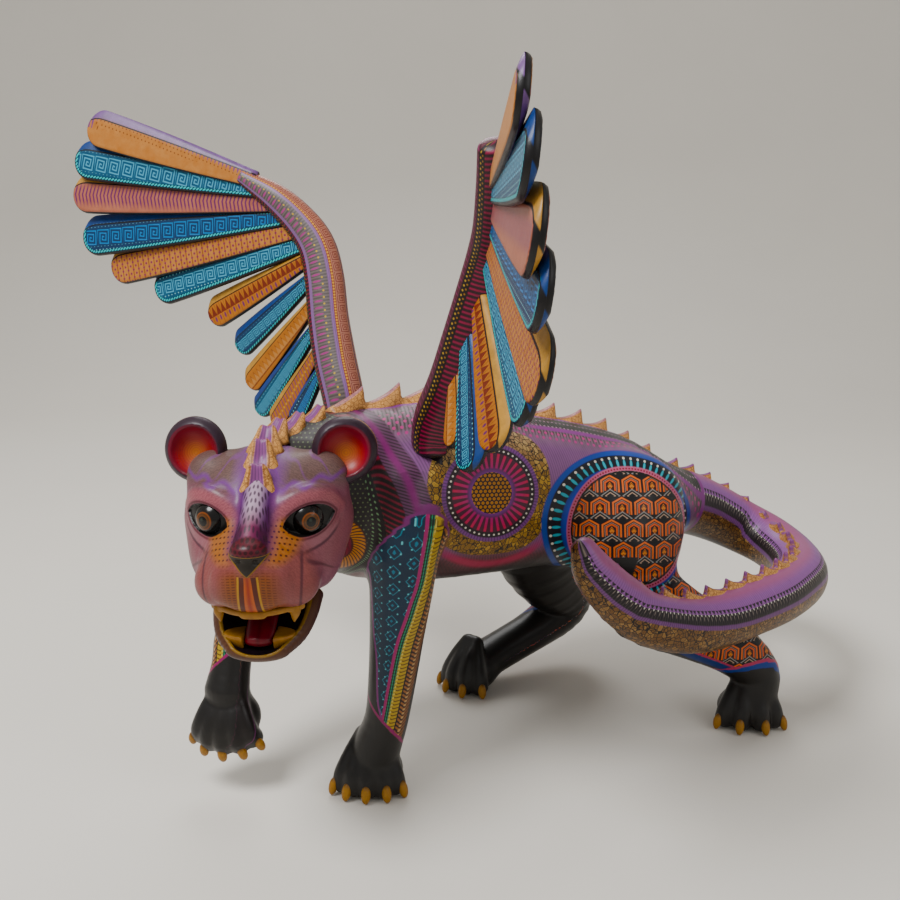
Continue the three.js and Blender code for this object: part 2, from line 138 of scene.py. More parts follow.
TAIL = [
    (0, 250, 174, 33),
    (0, 275, 170, 32),
    (0, 305, 162, 30),
    (4, 338, 148, 28),
    (17, 366, 132, 26),
    (46, 376, 121, 25),
    (84, 361, 115, 24.5),
    (118, 326, 116, 24),
    (138, 277, 118, 23.5),
    (148, 224, 120, 23),
    (150, 153, 121, 22),
    (147, 101, 136, 20.5),
    (141, 74, 156, 19.5),
    (135, 52, 180, 16),
    (131, 44, 198, 10),
]
WING_AT = np.array([54.0, -14.0, 273.0])
WING_U = np.array([0.874, -0.486, 0.0])
WING_W = np.array([-0.486, -0.874, 0.0])
WING_ARM = [
    (15.5, 0, 21, 15.5, 13.5),
    (16, 9, 20.5, 16.5, 14.5),
    (20, 24, 17.5, 17.5, 15),
    (31, 50, 9, 18, 15),
    (40.5, 80, 1, 17.5, 14),
    (48, 112, -7, 17, 13.5),
    (57, 136, -12, 16, 13),
    (72, 155, -13, 14.5, 12),
    (94, 174, -11, 12, 10.5),
    (122, 191, -7, 6.5, 6.5),
]
LEFT_WING_ARM = [
    (15.5, 0, 21, 15.5, 13.5),
    (16, 9, 20.5, 16.5, 14.5),
    (20, 24, 17, 17.5, 16),
    (31, 50, 7.5, 18, 17),
    (40.5, 80, -1, 17.5, 17.5),
    (49, 112, -9.5, 17, 17.5),
    (58, 136, -14.5, 16, 17),
    (72, 156, -15.5, 15, 16),
    (90, 181, -13, 13, 14.5),
    (104, 205, -9, 11, 12),
]
FEATHER_THICKNESS = 7.5
BEVEL = 3.4  # how far the bevelled side of a feather falls
UNDER = 3.0  # how far it runs under its neighbour
# Root u, v and tip u, v, w, then the width over the tip.
FEATHERS = {
    "left": [
        (110, 188, 265, 228, 8, 34),
        (106, 180, 282, 196, 7, 40),
        (97, 169, 285, 158, 4, 42),
        (86, 158, 283, 128, 0, 38),
        (74, 146, 258, 84, -6, 36, 0.15),
        (72, 133, 212, 60, -8, 30, 0.3),
        (60, 110, 135, 24, -5, 29, 0.5),
        (52, 86, 110, 5, 7, 27, 0.5),
        (43, 60, 80, 14, 13, 20, 0.5),
        (46, 84, 98, 36, -4, 13, 0.2),
        (42, 66, 84, 30, 0, 13, 0.2),
        (38, 50, 66, 24, 6, 12, 0.2),
    ],
    "right": [
        (110, 188, 265, 233, 8, 28),
        (106, 180, 282, 206, 7, 29),
        (97, 169, 289, 177, 4, 30),
        (86, 158, 285, 139, 0, 31),
        (74, 148, 261, 113, -6, 30),
        (66, 138, 219, 95, -11, 29),
        (60, 127, 166, 73, -15, 24),
        (54, 114, 140, 47, -17, 21),
        (50, 96, 128, 16, -14, 20),
        (46, 78, 116, -6, -9, 18),
        (42, 60, 97, -14, -4, 17),
        (38, 44, 75, -10, 1, 15),
    ],
}

# ---- Frames and curves ---------------------------------------------------------------------------


def turned(rx=0, ry=0, rz=0):
    """Rotation by degrees about X, then Y, then Z of the piece's own axes."""
    out = np.eye(3)
    for k, angle in enumerate((rx, ry, rz)):
        c, s = math.cos(math.radians(angle)), math.sin(math.radians(angle))
        i, j = (k + 1) % 3, (k + 2) % 3
        m = np.eye(3)
        m[i, i], m[i, j], m[j, i], m[j, j] = c, -s, s, c
        out = out @ m
    return out


def unit(v):
    v = np.asarray(v, float)
    return v / np.linalg.norm(v, axis=-1, keepdims=True)


def smooth_line(rows, per=4):
    """Catmull-Rom samples through rows, `per` to each gap."""
    p = np.asarray(rows, float)
    p = np.vstack([2 * p[0] - p[1], p, 2 * p[-1] - p[-2]])
    out = []
    for i in range(1, len(p) - 2):
        a, b, c, d = p[i - 1 : i + 3]
        for t in np.arange(per) / per:
            bend, turn = 2 * a - 5 * b + 4 * c - d, 3 * b - a - 3 * c + d
            out.append(0.5 * (2 * b + (c - a) * t + bend * t**2 + turn * t**3))
    out.append(p[-2])
    return np.array(out)


def run_of(line):
    """Distance along a line at each of its points."""
    return np.concatenate([[0], np.cumsum(np.linalg.norm(np.diff(line, axis=0), axis=1))])


def stations(rows, per=4):
    rows = [r if len(r) > 4 else (*r, r[3]) for r in rows]
    return smooth_line(rows, per)


def line_frames(points, up):
    """Tangent, across and over at each point of a line; `over` leans toward up."""
    along = unit(np.gradient(points, axis=0))
    across = unit(np.cross(np.broadcast_to(up, along.shape), along))
    return along, across, np.cross(along, across)


# ---- Carving: signed distances on a grid ---------------------------------------------------------


def soft_min(a, b, k):
    if np.isscalar(k) and k <= 0:
        return np.minimum(a, b)
    h = np.maximum(k - np.abs(a - b), 0) / np.maximum(k, 1e-6)
    return np.minimum(a, b) - h * h * k * 0.25


def soft_max(a, b, k):
    return -soft_min(-a, -b, k)


class Block:
    """A block of wood as distances to its surface, in mm, that shapes are added to or cut from."""

    def __init__(self, low, high, step):
        self.low, self.step = np.array(low, float), step
        self.size = np.ceil((np.array(high) - self.low) / step).astype(int) + 1
        self.d = np.full(self.size, 40.0, np.float32)

    def empty(self, where=None):
        """A block over the same cells, or over a window of them, with nothing in it."""
        own = Block(self.low, self.low, self.step)
        if where:
            own.low = self.low + self.step * np.array([w.start for w in where])
        own.d = np.full_like(self.d[where] if where else self.d, 40.0)
        own.size = np.array(own.d.shape)
        return own

    def window(self, low, high):
        a = np.clip(np.floor((np.array(low) - self.low) / self.step).astype(int), 0, self.size)
        b = np.clip(np.ceil((np.array(high) - self.low) / self.step).astype(int) + 1, 0, self.size)
        cut = tuple(slice(i, j) for i, j in zip(a, b))
        axes = [
            (self.low[k] + self.step * np.arange(a[k], b[k])).astype(np.float32) for k in range(3)
        ]
        return cut, (axes[0][:, None, None], axes[1][None, :, None], axes[2][None, None, :])

    def apply(self, shape, k=0, cut=False):
        low, high, distance = shape
        where, p = self.window(np.array(low) - 14, np.array(high) + 14)
        if self.d[where].size == 0:
            return self
        d = distance(p)
        old = self.d[where]
        self.d[where] = soft_max(old, -d, k) if cut else soft_min(old, d, k)
        return self

    def add(self, shape, k=0):
        return self.apply(shape, k)

    def cut(self, shape, k=0):
        return self.apply(shape, k, True)

    def grid(self):
        return self.window(self.low - 1, self.low + self.size * self.step)[1]

    def mesh(self):
        vdb = openvdb.FloatGrid(20.0)
        vdb.copyFromArray(np.clip(self.d, -20, 20))
        points, quads = vdb.convertToQuads(0.0)
        points = self.low + self.step * np.asarray(points, float)
        quads = np.asarray(quads, int)
        a, b, c, d = (points[quads[:, i]] for i in range(4))
        inside = np.einsum("ij,ij->i", (a + b + c + d) / 4 - points.mean(0), np.cross(c - a, d - b)).sum()
        return points, quads if inside > 0 else quads[:, ::-1]

    def sample(self, points):
        """Trilinear distances at points."""
        q = np.clip((points - self.low) / self.step, 0, self.size - 1.001)
        i = q.astype(int)
        f = q - i
        out = 0
        for dx in (0, 1):
            for dy in (0, 1):
                for dz in (0, 1):
                    w = (
                        np.where(dx, f[:, 0], 1 - f[:, 0])
                        * np.where(dy, f[:, 1], 1 - f[:, 1])
                        * np.where(dz, f[:, 2], 1 - f[:, 2])
                    )
                    out = out + w * self.d[i[:, 0] + dx, i[:, 1] + dy, i[:, 2] + dz]
        return out


def lump(at, size, turn=None):
    """An ellipsoid."""
    at, size = np.array(at, float), np.array(size, float)
    m = np.eye(3) if turn is None else turn
    reach = np.sqrt((m**2 @ size**2))

    def distance(p):
        d = [p[k] - at[k] for k in range(3)]
        q = [d[0] * m[0, k] + d[1] * m[1, k] + d[2] * m[2, k] for k in range(3)]
        k0 = np.sqrt(sum((q[k] / size[k]) ** 2 for k in range(3)))
        k1 = np.sqrt(sum((q[k] / size[k] ** 2) ** 2 for k in range(3)))
        return (k0 * (k0 - 1) / np.maximum(k1, 1e-6)).astype(np.float32)

    return at - reach, at + reach, distance


def limb(block, rows, up, k=0, per=4, round_=1.0):
    """A round-ended elliptic limb along its stations, added to block."""
    s = stations(rows, per)
    points, a, b = s[:, :3], s[:, 3], s[:, 4]
    _, across, over = line_frames(points, up)
    own = block.empty()
    for i in range(len(points) - 1):
        p0, d = points[i], points[i + 1] - points[i]
        side, rise = unit(across[i] + across[i + 1]), unit(over[i] + over[i + 1])
        way = unit(d)
        r = max(a[i], a[i + 1], b[i], b[i + 1])
        low, high = np.minimum(p0, points[i + 1]) - r, np.maximum(p0, points[i + 1]) + r

        def distance(p, p0=p0, d=d, side=side, rise=rise, way=way, i=i):
            q = [p[n] - p0[n] for n in range(3)]
            dot = lambda v: q[0] * v[0] + q[1] * v[1] + q[2] * v[2]
            t = np.clip(dot(d) / (d @ d), 0, 1)
            aa, bb = a[i] + (a[i + 1] - a[i]) * t, b[i] + (b[i + 1] - b[i]) * t
            cc = np.minimum(aa, bb) * round_
            x = dot(side) - t * (d @ side)
            y = dot(rise) - t * (d @ rise)
            z = dot(way) - t * (d @ way)
            k0 = np.sqrt((x / aa) ** 2 + (y / bb) ** 2 + (z / cc) ** 2)
            k1 = np.sqrt((x / aa**2) ** 2 + (y / bb**2) ** 2 + (z / cc**2) ** 2)
            return (k0 * (k0 - 1) / np.maximum(k1, 1e-5)).astype(np.float32)

        own.add((low, high, distance))
    block.d = soft_min(block.d, own.d, k)
    return block


def along_limb(rows, up, points, per=4):
    """Distance along, signed arc from the top round the side, and share of the radius, at points."""
    s = stations(rows, per)
    line, a, b = s[:, :3], s[:, 3], s[:, 4]
    _, across, over = line_frames(line, up)
    run = run_of(line)
    best = np.full(len(points), 1e9)
    out = np.zeros((len(points), 3))
    for i in range(len(line) - 1):
        d = line[i + 1] - line[i]
        t = np.clip((points - line[i]) @ d / (d @ d), 0, 1)
        q = points - line[i] - t[:, None] * d
        dist = np.linalg.norm(q, axis=1)
        ok = dist < best
        side = across[i] + (across[i + 1] - across[i]) * t[:, None]
        rise = over[i] + (over[i + 1] - over[i]) * t[:, None]
        aa, bb = a[i] + (a[i + 1] - a[i]) * t, b[i] + (b[i + 1] - b[i]) * t
        x, y = (q * side).sum(1) / aa, (q * rise).sum(1) / bb
        row = np.stack([run[i] + t * (run[i + 1] - run[i]), np.arctan2(x, y), np.hypot(x, y)], 1)
        out[ok], best[ok] = row[ok], dist[ok]
    return out


# ---- Meshes --------------------------------------------------------------------------------------


def vertex_normals(points, faces):
    n = np.zeros_like(points)
    a, b, c, d = (points[faces[:, i]] for i in range(4))
    face = np.cross(c - a, d - b)
    for i in range(4):
        np.add.at(n, faces[:, i], face)
    return n / np.maximum(np.linalg.norm(n, axis=1, keepdims=True), 1e-9)


def piece(name, points, faces, material, body="figure", slot=None, normals=None, sharp=False, **layers):
    """A mesh piece from figure-frame points in mm; layers become per-point vectors."""
    mesh = bpy.data.meshes.new(name)
    mesh.from_pydata(((points + CENTRE) * MM).tolist(), [], [list(f) for f in faces])
    layers.setdefault("rest", points)
    for key, values in layers.items():
        layer = mesh.attributes.new(key, "FLOAT_VECTOR", "POINT")
        layer.data.foreach_set("vector", np.asarray(values, np.float32).ravel())
    mesh.update()
    mesh.polygons.foreach_set("use_smooth", [not sharp] * len(mesh.polygons))
    if normals is not None:
        mesh.normals_split_custom_set_from_vertices(normals.tolist())
    ob = bpy.data.objects.new(name, mesh)
    bpy.context.scene.collection.objects.link(ob)
    mesh.materials.append(material)
    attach(ob, body)
    return ob


def part_of(points, faces, keep):
    """The faces marked keep, with only their points."""
    faces = faces[keep]
    used = np.unique(faces)
    index = np.zeros(len(points), int)
    index[used] = np.arange(len(used))
    return used, index[faces]


def from_head(p):
    c, s = math.cos(HEAD_YAW), math.sin(HEAD_YAW)
    p = np.asarray(p, float)
    return np.stack([c * p[..., 0] - s * p[..., 1], s * p[..., 0] + c * p[..., 1], p[..., 2]], -1) + HEAD_AT


# ---- Body: torso, legs and tail carved to one flowing surface, then parted into their pieces -----
X, Z = np.array([1.0, 0, 0]), np.array([0, 0, 1.0])


def toe_places(leg):
    """For each toe of a paw: its turn in degrees and its line from wrist to tip, in the figure's frame."""
    turn = turned(rz=leg["yaw"]) @ turned(rx=leg["pitch"])
    at, width = np.array(leg["paw"], float), leg["width"]
    bend = leg["pitch"] / 38  # a raised paw hangs from a bent wrist
    for i in range(leg["toes"]):
        a = (i / (leg["toes"] - 1)) * 2 - 1
        x, y = math.sin(a) * (width - 5), -math.cos(a) * 17 - 1
        wrist = [(0.30 * x, 2 + 15 * bend, 46 - 11 * bend), (0.62 * x, 0.5 * y + 7 * bend, 33 - 3 * bend)]
        line = np.array([*wrist, (0.9 * x, 0.92 * y, 20), (x, y, 11)])
        yield math.degrees(a), at + line @ turn.T, turn


def paw(block, leg):
    turn = turned(rz=leg["yaw"]) @ turned(rx=leg["pitch"])
    at = np.array(leg["paw"], float)
    block.add(lump(at + turn @ np.array([0, 2, 17]), (leg["width"] * 0.85, 22, 17.5), turn), 8)
    for _, line, _ in toe_places(leg):
        rows = [(*p, r) for p, r in zip(line, (6.5, 7.6, 8.2, 8.4))]
        low, high = line.min(0) - 20, line.max(0) + 20
        where, _ = block.window(low, high)
        own = block.empty(where)
        limb(own, rows, X + 0.3 * Z)
        block.d[where] = soft_min(block.d[where], own.d, 2.0)
    return block


def carve_body():
    low, high = (-118, -190, -4), (182, 410, 312)
    parts = {}
    torso = Block(low, high, SKIN_STEP)
    limb(torso, TORSO, Z, per=3, round_=0.9)
    for s in (-1, 1):
        torso.add(lump((s * SHOULDER[0], SHOULDER[1], SHOULDER[2]), (24, 34, 33)), 16)
    parts["torso"] = torso
    whole = Block(low, high, SKIN_STEP)
    whole.d = torso.d.copy()
    for name, leg in LEGS.items():
        own = Block(low, high, SKIN_STEP)
        limb(own, leg["line"], X, per=3, round_=0.9)
        paw(own, leg)
        parts[name + "_leg"] = own
        whole.d = soft_min(whole.d, own.d, 18 if "rear" in name else 14)
    tail = Block(low, high, SKIN_STEP)
    limb(tail, TAIL, Z, per=4, round_=1.0)
    parts["tail"] = tail
    x, y, z = whole.grid()
    near = 12 * np.clip((60 - np.abs(x)) / 15, 0, 1).astype(np.float32) + 0 * y + 0 * z
    whole.d = soft_min(whole.d, tail.d, near)
    whole.d = np.maximum(whole.d, -z)
    return whole, parts


# ---- Head, in its own frame: left, back and up; the muzzle points along -Y -----------------------
def carve_head():
    head = Block((-76, -100, -72), (76, 74, 70), HEAD_STEP)
    head.add(lump((0, 3, -2), (57, 54, 48)))
    muzzle = [(0, -14, -14, 45, 36), (0, -40, -19, 37, 31), (0, -58, -22, 32, 26), (0, -71, -25, 26, 21.5)]
    limb(head, muzzle, Z, k=9, round_=0.5)
    for s in (-1, 1):
        head.add(lump((s * 32, -14, -25), (17, 26, 23)), 12)
        head.add(lump((s * 23.5, -50, -31), (16.5, 20, 16)), 8)
        head.add(lump((s * 36, 0, 26), (18, 15, 17)), 10)
        head.add(eye_mound(s), 5)
        brow = [(-25, -3, 3.5), (-18, 7, 4.5), (-7, 14.5, 5.5), (6, 16.5, 6), (17, 12.5, 5), (25, 4, 3.5)]
        limb(head, [(*on_eye(s, a, b, -1.5), r) for a, b, r in brow], Z, k=6)
        under = [(-18, -10, 2.0), (-6, -15, 2.6), (8, -14.5, 2.6), (20, -7.5, 2.0)]
        limb(head, [(*on_eye(s, a, b, -0.8), r) for a, b, r in under], Z, k=5)
    bridge = [(0, -24, 31, 7.5, 7), (0, -42, 21, 8, 8), (0, -58, 9.5, 9, 8), (0, -72, -1, 10, 7)]
    limb(head, bridge, Z, k=6)
    head.add(lump((0, -75, -5), (11.8, 11, 8), turned(-25, 0, 0)), 3)
    head.add(lump((0, -76.5, -13), (7.5, 9, 8.5)), 4)
    for s in (-1, 1):
        head.cut(eye_well(s), 0.8)
        head.cut(lump((s * 6.3, -85, -8.5), (2.8, 4, 1.5), turned(0, s * 28, s * 25)), 1.2)
    limb_cut(head, [(0, -87, -19, 1.7), (0, -85, -30, 1.5), (0, -82, -47, 2.0)], X, 3)
    low, high = np.array([-90, -120, -90]), np.array([90, -12, -45.5])
    head.cut((low, high, lambda p: np.maximum(p[1] + 12, p[2] + 45.5) + 0 * p[0]), 1.5)
    return head


def eye_axes(s):
    """Outward, then toward the outer corner, of one eye."""
    return unit([s * 0.46, -0.888, 0.0]), np.array([s * 0.888, 0.46, 0.0])


def on_eye(s, a, b, lift=0.0):
    """A point on the eye's round mound, toward the outer corner by a and up by b."""
    out, side = eye_axes(s)
    n = EYE_FLOOR - 28 + math.sqrt(28**2 - min(a * a + b * b, 700)) + lift
    return np.array([s * EYE[0], EYE[1], EYE[2]]) + a * side + b * Z + n * out


def eye_plane(s, p):
    """Places in an eye's own plane: toward the outer corner, up, and outward, from the ball's centre."""
    out, side = eye_axes(s)
    q = [p[k] - (s * EYE[0], EYE[1], EYE[2])[k] for k in range(3)]
    a = q[0] * side[0] + q[1] * side[1] + 0 * q[2]
    n = q[0] * out[0] + q[1] * out[1] + 0 * q[2]
    return a, q[2] + 0 * a, n


def almond(a, b):
    """Distance to the almond opening round an eye."""
    b = b - 0.10 * a
    return np.maximum(np.hypot(a - 0.5, b + 14.2), np.hypot(a - 0.5, b - 14.8)) - 23.9


def eye_mound(s):
    at = on_eye(s, 0, 0)

    def distance(p):
        a, b, n = eye_plane(s, p)
        dome = np.sqrt(a * a + b * b + (n - EYE_FLOOR + 28) ** 2) - 29.2
        return np.maximum(almond(a, b) - 2.6, dome).astype(np.float32)

    return at - 28, at + 28, distance


def eye_well(s):
    at = on_eye(s, 0, 0)

    def distance(p):
        a, b, n = eye_plane(s, p)
        dome = 28 - np.sqrt(a * a + b * b + (n - EYE_FLOOR + 28) ** 2)
        return np.maximum(almond(a, b), dome).astype(np.float32)

    return at - 28, at + 28, distance


def limb_cut(block, rows, up, k):
    own = block.empty()
    limb(own, rows, up)
    block.d = soft_max(block.d, -own.d, k)


def carve_jaw():
    """The jaw, and on their own its outside and the trough cut from it."""
    outer = Block((-46, -74, -98), (46, 8, -36), HEAD_STEP)
    rows = [(0, -10, -55, 37, 12), (0, -28, -63, 35, 12), (0, -45, -70.5, 30, 11), (0, -58, -76, 21, 8)]
    limb(outer, rows, Z, round_=0.8)
    inner = outer.empty()
    back = [(0, -13, -44, 31, 10), (0, -30, -53, 30, 10.5)]
    limb(inner, [*back, (0, -46, -61.5, 25.8, 11.8), (0, -59, -67.5, 17.5, 10.3)], Z)
    jaw = outer.empty()
    jaw.d = soft_max(outer.d, -inner.d, 1.5)
    return jaw, outer, inner


def carve_lower_teeth(s):
    """Half of the row beside the tongue: flat on top, round below."""
    tooth = Block((-30, -64, -84), (30, -34, -60), HEAD_STEP * 0.7)
    tooth.add(lump((0, -48.5, -66.0), (24.0, 12.0, 14.5)))
    low, high = np.array([-99.0, -99, -66.5]), np.array([99.0, 0, 0])
    tooth.cut((low, high, lambda p: -66.5 - p[2] + 0 * (p[0] + p[1])), 1.6)
    low, high = np.array([-99.0, -99, -99]), np.array([99.0, 0, 0])
    tooth.cut((low, high, lambda p: p[0] * s - 9.8 + 0 * (p[1] + p[2])), 1.6)
    return tooth


def carve_ear(side):
    at = 52 if side > 0 else -48.5
    block = Block((at - 30, -24, 14), (at + 30, 26, 72), HEAD_STEP)
    turn = turned(-8, 0, side * 14)
    block.add(lump((at, 4, 43), (22.3, 13, 22.3), turn))
    block.add(lump((at - side * 8, 3, 26), (11, 9, 12), turn), 6)
    block.cut(lump((at + side, -10, 44), (17.6, 16, 18.2), turn), 2)
    return block


# ---- Swept pieces --------------------------------------------------------------------------------


def sweep(line, side, rise, a, b, sides=24, power=2.0):
    """Superellipse rings along a line: points, quads, and for each point the ring and its angle."""
    angle = np.linspace(0, 2 * math.pi, sides, endpoint=False)
    c, s = np.cos(angle), np.sin(angle)
    r = (np.abs(c) ** power + np.abs(s) ** power) ** (-1 / power)
    x, y = r * c, r * s
    points = (
        line[:, None]
        + (a[:, None] * x)[..., None] * side[:, None]
        + (b[:, None] * y)[..., None] * rise[:, None]
    )
    n = len(line)
    points = np.concatenate([points.reshape(-1, 3), line[:1], line[-1:]])
    i, j = np.meshgrid(np.arange(n - 1), np.arange(sides), indexing="ij")
    k = (j + 1) % sides
    quads = np.stack([i * sides + j, i * sides + k, (i + 1) * sides + k, (i + 1) * sides + j], -1)
    faces = quads.reshape(-1, 4).tolist()
    for m in range(sides):
        w = (m + 1) % sides
        faces.append([n * sides, w, m])
        faces.append([n * sides + 1, (n - 1) * sides + m, (n - 1) * sides + w])
    ring = np.concatenate([np.repeat(np.arange(n), sides), [0, n - 1]])
    around = np.concatenate([np.tile(angle, n), [0, 0]])
    return points, faces, ring, around


def swept(rows, up, sides=24, power=2.0, per=6, round_=0.9):
    """A round-ended sweep through stations: points, faces, (distance along, angle, radius)."""
    s = stations(rows, per)
    line, a, b = s[:, :3], s[:, 3], s[:, 4]
    along, side, rise = line_frames(line, up)
    t = np.sin(np.linspace(math.pi / 2, 0.02, 7))[1:]
    cap = np.sqrt(1 - t**2)

    def end(i, sign):
        r = round_ * min(a[i], b[i])
        return line[i] + sign * r * cap[:, None] * along[i], a[i] * t, b[i] * t

    (l0, a0, b0), (l1, a1, b1) = end(0, -1), end(-1, 1)
    n = len(t)
    line = np.vstack([l0[::-1], line, l1])
    a, b = np.concatenate([a0[::-1], a, a1]), np.concatenate([b0[::-1], b, b1])
    side = np.vstack([np.repeat(side[:1], n, 0), side, np.repeat(side[-1:], n, 0)])
    rise = np.vstack([np.repeat(rise[:1], n, 0), rise, np.repeat(rise[-1:], n, 0)])
    run = run_of(line)
    points, faces, ring, around = sweep(line, side, rise, a, b, sides, power)
    return points, faces, np.stack([run[ring], around, a[ring]], 1)


def globe(at, size, turn=None, sides=24, rings=16):
    """A closed ball; its local points are on the unit sphere."""
    t = np.linspace(0.02, math.pi - 0.02, rings)
    line = np.zeros((rings, 3))
    line[:, 1] = -np.cos(t)
    one = np.ones(rings)
    side, rise = np.outer(one, [0, 0, 1.0]), np.outer(one, [1.0, 0, 0])
    points, faces, *_ = sweep(line, side, rise, np.sin(t), np.sin(t), sides)
    m = np.eye(3) if turn is None else turn
    return (points * np.array(size)) @ m.T + np.array(at), faces, points


def tube_faces(n, m):
    """Faces round n rings of m points, with both ends closed."""
    ahead = lambda j: (j + 1) % m
    pairs = [(i, j) for i in range(n - 1) for j in range(m)]
    sides = [[i * m + j, (i + 1) * m + j, (i + 1) * m + ahead(j), i * m + ahead(j)] for i, j in pairs]
    return [*sides, list(range(m)), [(n - 1) * m + j for j in range(m)][::-1]]


def several(makes):
    """Joins meshes given as (points, faces, layer)."""
    points, faces, layers, base = [], [], [], 0
    for p, f, layer in makes:
        points.append(p)
        layers.append(layer)
        faces += [[i + base for i in q] for q in f]
        base += len(p)
    return np.vstack(points), faces, np.vstack(layers)


# ---- Wings, drawn on the left and mirrored -------------------------------------------------------
def from_wing(p, side):
    p = np.asarray(p, float)
    q = WING_AT + p[..., :1] * WING_U + p[..., 1:2] * Z + p[..., 2:3] * WING_W
    return q * np.array([side, 1, 1])


def arm_depth(v):
    rows = np.array(WING_ARM)
    return np.interp(v, rows[:, 1], rows[:, 2])


def feather(u0, v0, u1, v1, w1, width, turn=0.0):
    """A lobed slat whose upper side is bevelled back under its neighbour.

    Gives (u, v, w) points, faces, and (distance along, offset, distance in from the outline)."""
    root, tip = np.array([u0, v0, arm_depth(v0)]), np.array([u1, v1, w1])
    length = np.linalg.norm(tip - root)
    along = (tip - root) / length
    across = unit(np.cross([turn, 0.12, 1], along))
    face = np.cross(along, across)
    half = width / 2 + 0.6
    x = np.linspace(0, length - half, 30)
    t = x / (length - half)
    w = half * (0.44 + 0.74 * t - 0.18 * t**3)
    lobe = np.linspace(0, math.pi / 2 - 0.03, 14)[1:]
    x = np.concatenate([x, length - half + half * np.sin(lobe)])
    w = np.concatenate([w, half * np.cos(lobe)])
    core = np.clip(x, None, length - half)
    rows, local, slope = [], [], []
    thick = FEATHER_THICKNESS / 2
    for sign in (1, -1):
        for r in np.sin(np.linspace(-1, 1, 19) * math.pi / 2) * sign:
            off = w * r
            edge = np.where(x > length - half, half - np.hypot(x - core, off), (1 - abs(r)) * w)
            bevel = BEVEL * np.clip((off * sign - 0.52 * half * (w / half)) / (0.48 * half), 0, 1)
            lift = (thick - bevel) * np.clip(edge / 1.6, 0, 1) ** 0.5
            reach = off + UNDER * np.clip(off / half, 0, 1)
            rows.append(root + x[:, None] * along + reach[:, None] * across + (sign * lift)[:, None] * face)
            local.append(np.stack([x, reach * sign, edge], 1))
            slope.append(np.stack([bevel / BEVEL, 0 * x, 0 * x], 1))
    ring, local, slope = (np.array(v).transpose(1, 0, 2) for v in (rows, local, slope))
    faces = [f[::-1] for f in tube_faces(*ring.shape[:2])]
    return ring.reshape(-1, 3), faces, local.reshape(-1, 3), slope.reshape(-1, 3)


# ---- Crests --------------------------------------------------------------------------------------


def ridge(line, up, count, size, width, fade=1.0, per=14, sink=3.0, power=1.5, cup=0.22):
    """A band of backward-leaning waves along a line; local is (place in the wave, offset, height)."""
    run = run_of(line)
    at = np.linspace(0, run[-1], count * per + 1)
    p = np.stack([np.interp(at, run, line[:, k]) for k in range(3)], 1)
    u = unit(np.stack([np.interp(at, run, up[:, k]) for k in range(3)], 1))
    along = unit(np.gradient(p, axis=0))
    side = unit(np.cross(along, u))
    t = (np.arange(len(at)) / per) % 1.0
    scale = 1 + (fade - 1) * at / run[-1]
    rise = np.where(t < 0.8, (t / 0.8) ** 1.7, ((1 - t) / 0.2) ** 1.3)
    height = (0.30 + 0.70 * rise) * size * scale
    half = width * scale * (0.86 + 0.14 * np.sin(t * 2 * math.pi - 0.6))
    c = np.linspace(-1, 1, 13)
    rows, local = [], []
    for k in c:
        shape = (1 - abs(k) ** power) ** 0.9
        hollow = 1 - cup * math.exp(-((k / 0.3) ** 2)) * np.clip(1 - np.abs(t - 0.55) / 0.4, 0, 1)
        h = height * shape * hollow
        lean = 0.42 * np.maximum(h - 0.3 * size * scale, 0)
        q = p + side * (half * k)[:, None] + u * (h - sink)[:, None] + along * lean[:, None]
        rows.append(q)
        local.append(np.stack([t, np.full_like(t, k), h / (size * scale)], 1))
    rows.append(p - u * (sink + 3))
    local.append(np.stack([t, 0 * t, 0 * t], 1))
    ring = np.array(rows).transpose(1, 0, 2)
    local = np.array(local).transpose(1, 0, 2)
    return ring.reshape(-1, 3), tube_faces(*ring.shape[:2]), local.reshape(-1, 3)


def top_line(rows, tilt, start=0.0, end=1.0):
    """The line over a limb's stations, at a tilt, from a share of its length to another."""
    s = stations(rows, 8)
    t = np.linspace(0, len(rows) - 1, len(s))
    tilts = np.array([tilt(i) for i in range(len(rows))], float)
    up = unit(np.stack([np.interp(t, np.arange(len(rows)), tilts[:, k]) for k in range(3)], 1))
    reach = np.hypot(np.hypot(up[:, 0], up[:, 1]) * s[:, 3], up[:, 2] * s[:, 4])
    line = s[:, :3] + up * reach[:, None]
    run = run_of(line)
    keep = np.linspace(start, end, 160) * run[-1]
    pick = lambda v: np.stack([np.interp(keep, run, v[:, k]) for k in range(3)], 1)
    return pick(line), unit(pick(up))

# ---- Painting: arithmetic on values in a material's node tree ------------------------------------


def rgb(code):
    """A colour from its #rrggbb code, in linear light."""
    parts = [int(code[i : i + 2], 16) / 255 for i in (1, 3, 5)]
    return tuple(((c + 0.055) / 1.055) ** 2.4 if c > 0.04 else c / 12.92 for c in parts)


class Value:
    """A number at each point of a surface."""

    def __init__(self, socket):
        self.socket = socket

    def __add__(self, o):
        return op("ADD", self, o)

    def __sub__(self, o):
        return op("SUBTRACT", self, o)

    def __mul__(self, o):
        return op("MULTIPLY", self, o)

    def __truediv__(self, o):
        return op("DIVIDE", self, o)

    def __rsub__(self, o):
        return op("SUBTRACT", o, self)

    def __rtruediv__(self, o):
        return op("DIVIDE", o, self)

    def __neg__(self):
        return op("MULTIPLY", self, -1)

    def __gt__(self, o):
        return op("GREATER_THAN", self, o)

    def __lt__(self, o):
        return op("LESS_THAN", self, o)

    def __abs__(self):
        return op("ABSOLUTE", self)

    __radd__ = __add__
    __rmul__ = __mul__


class Tree:
    """The node tree that is being painted."""

    now = None


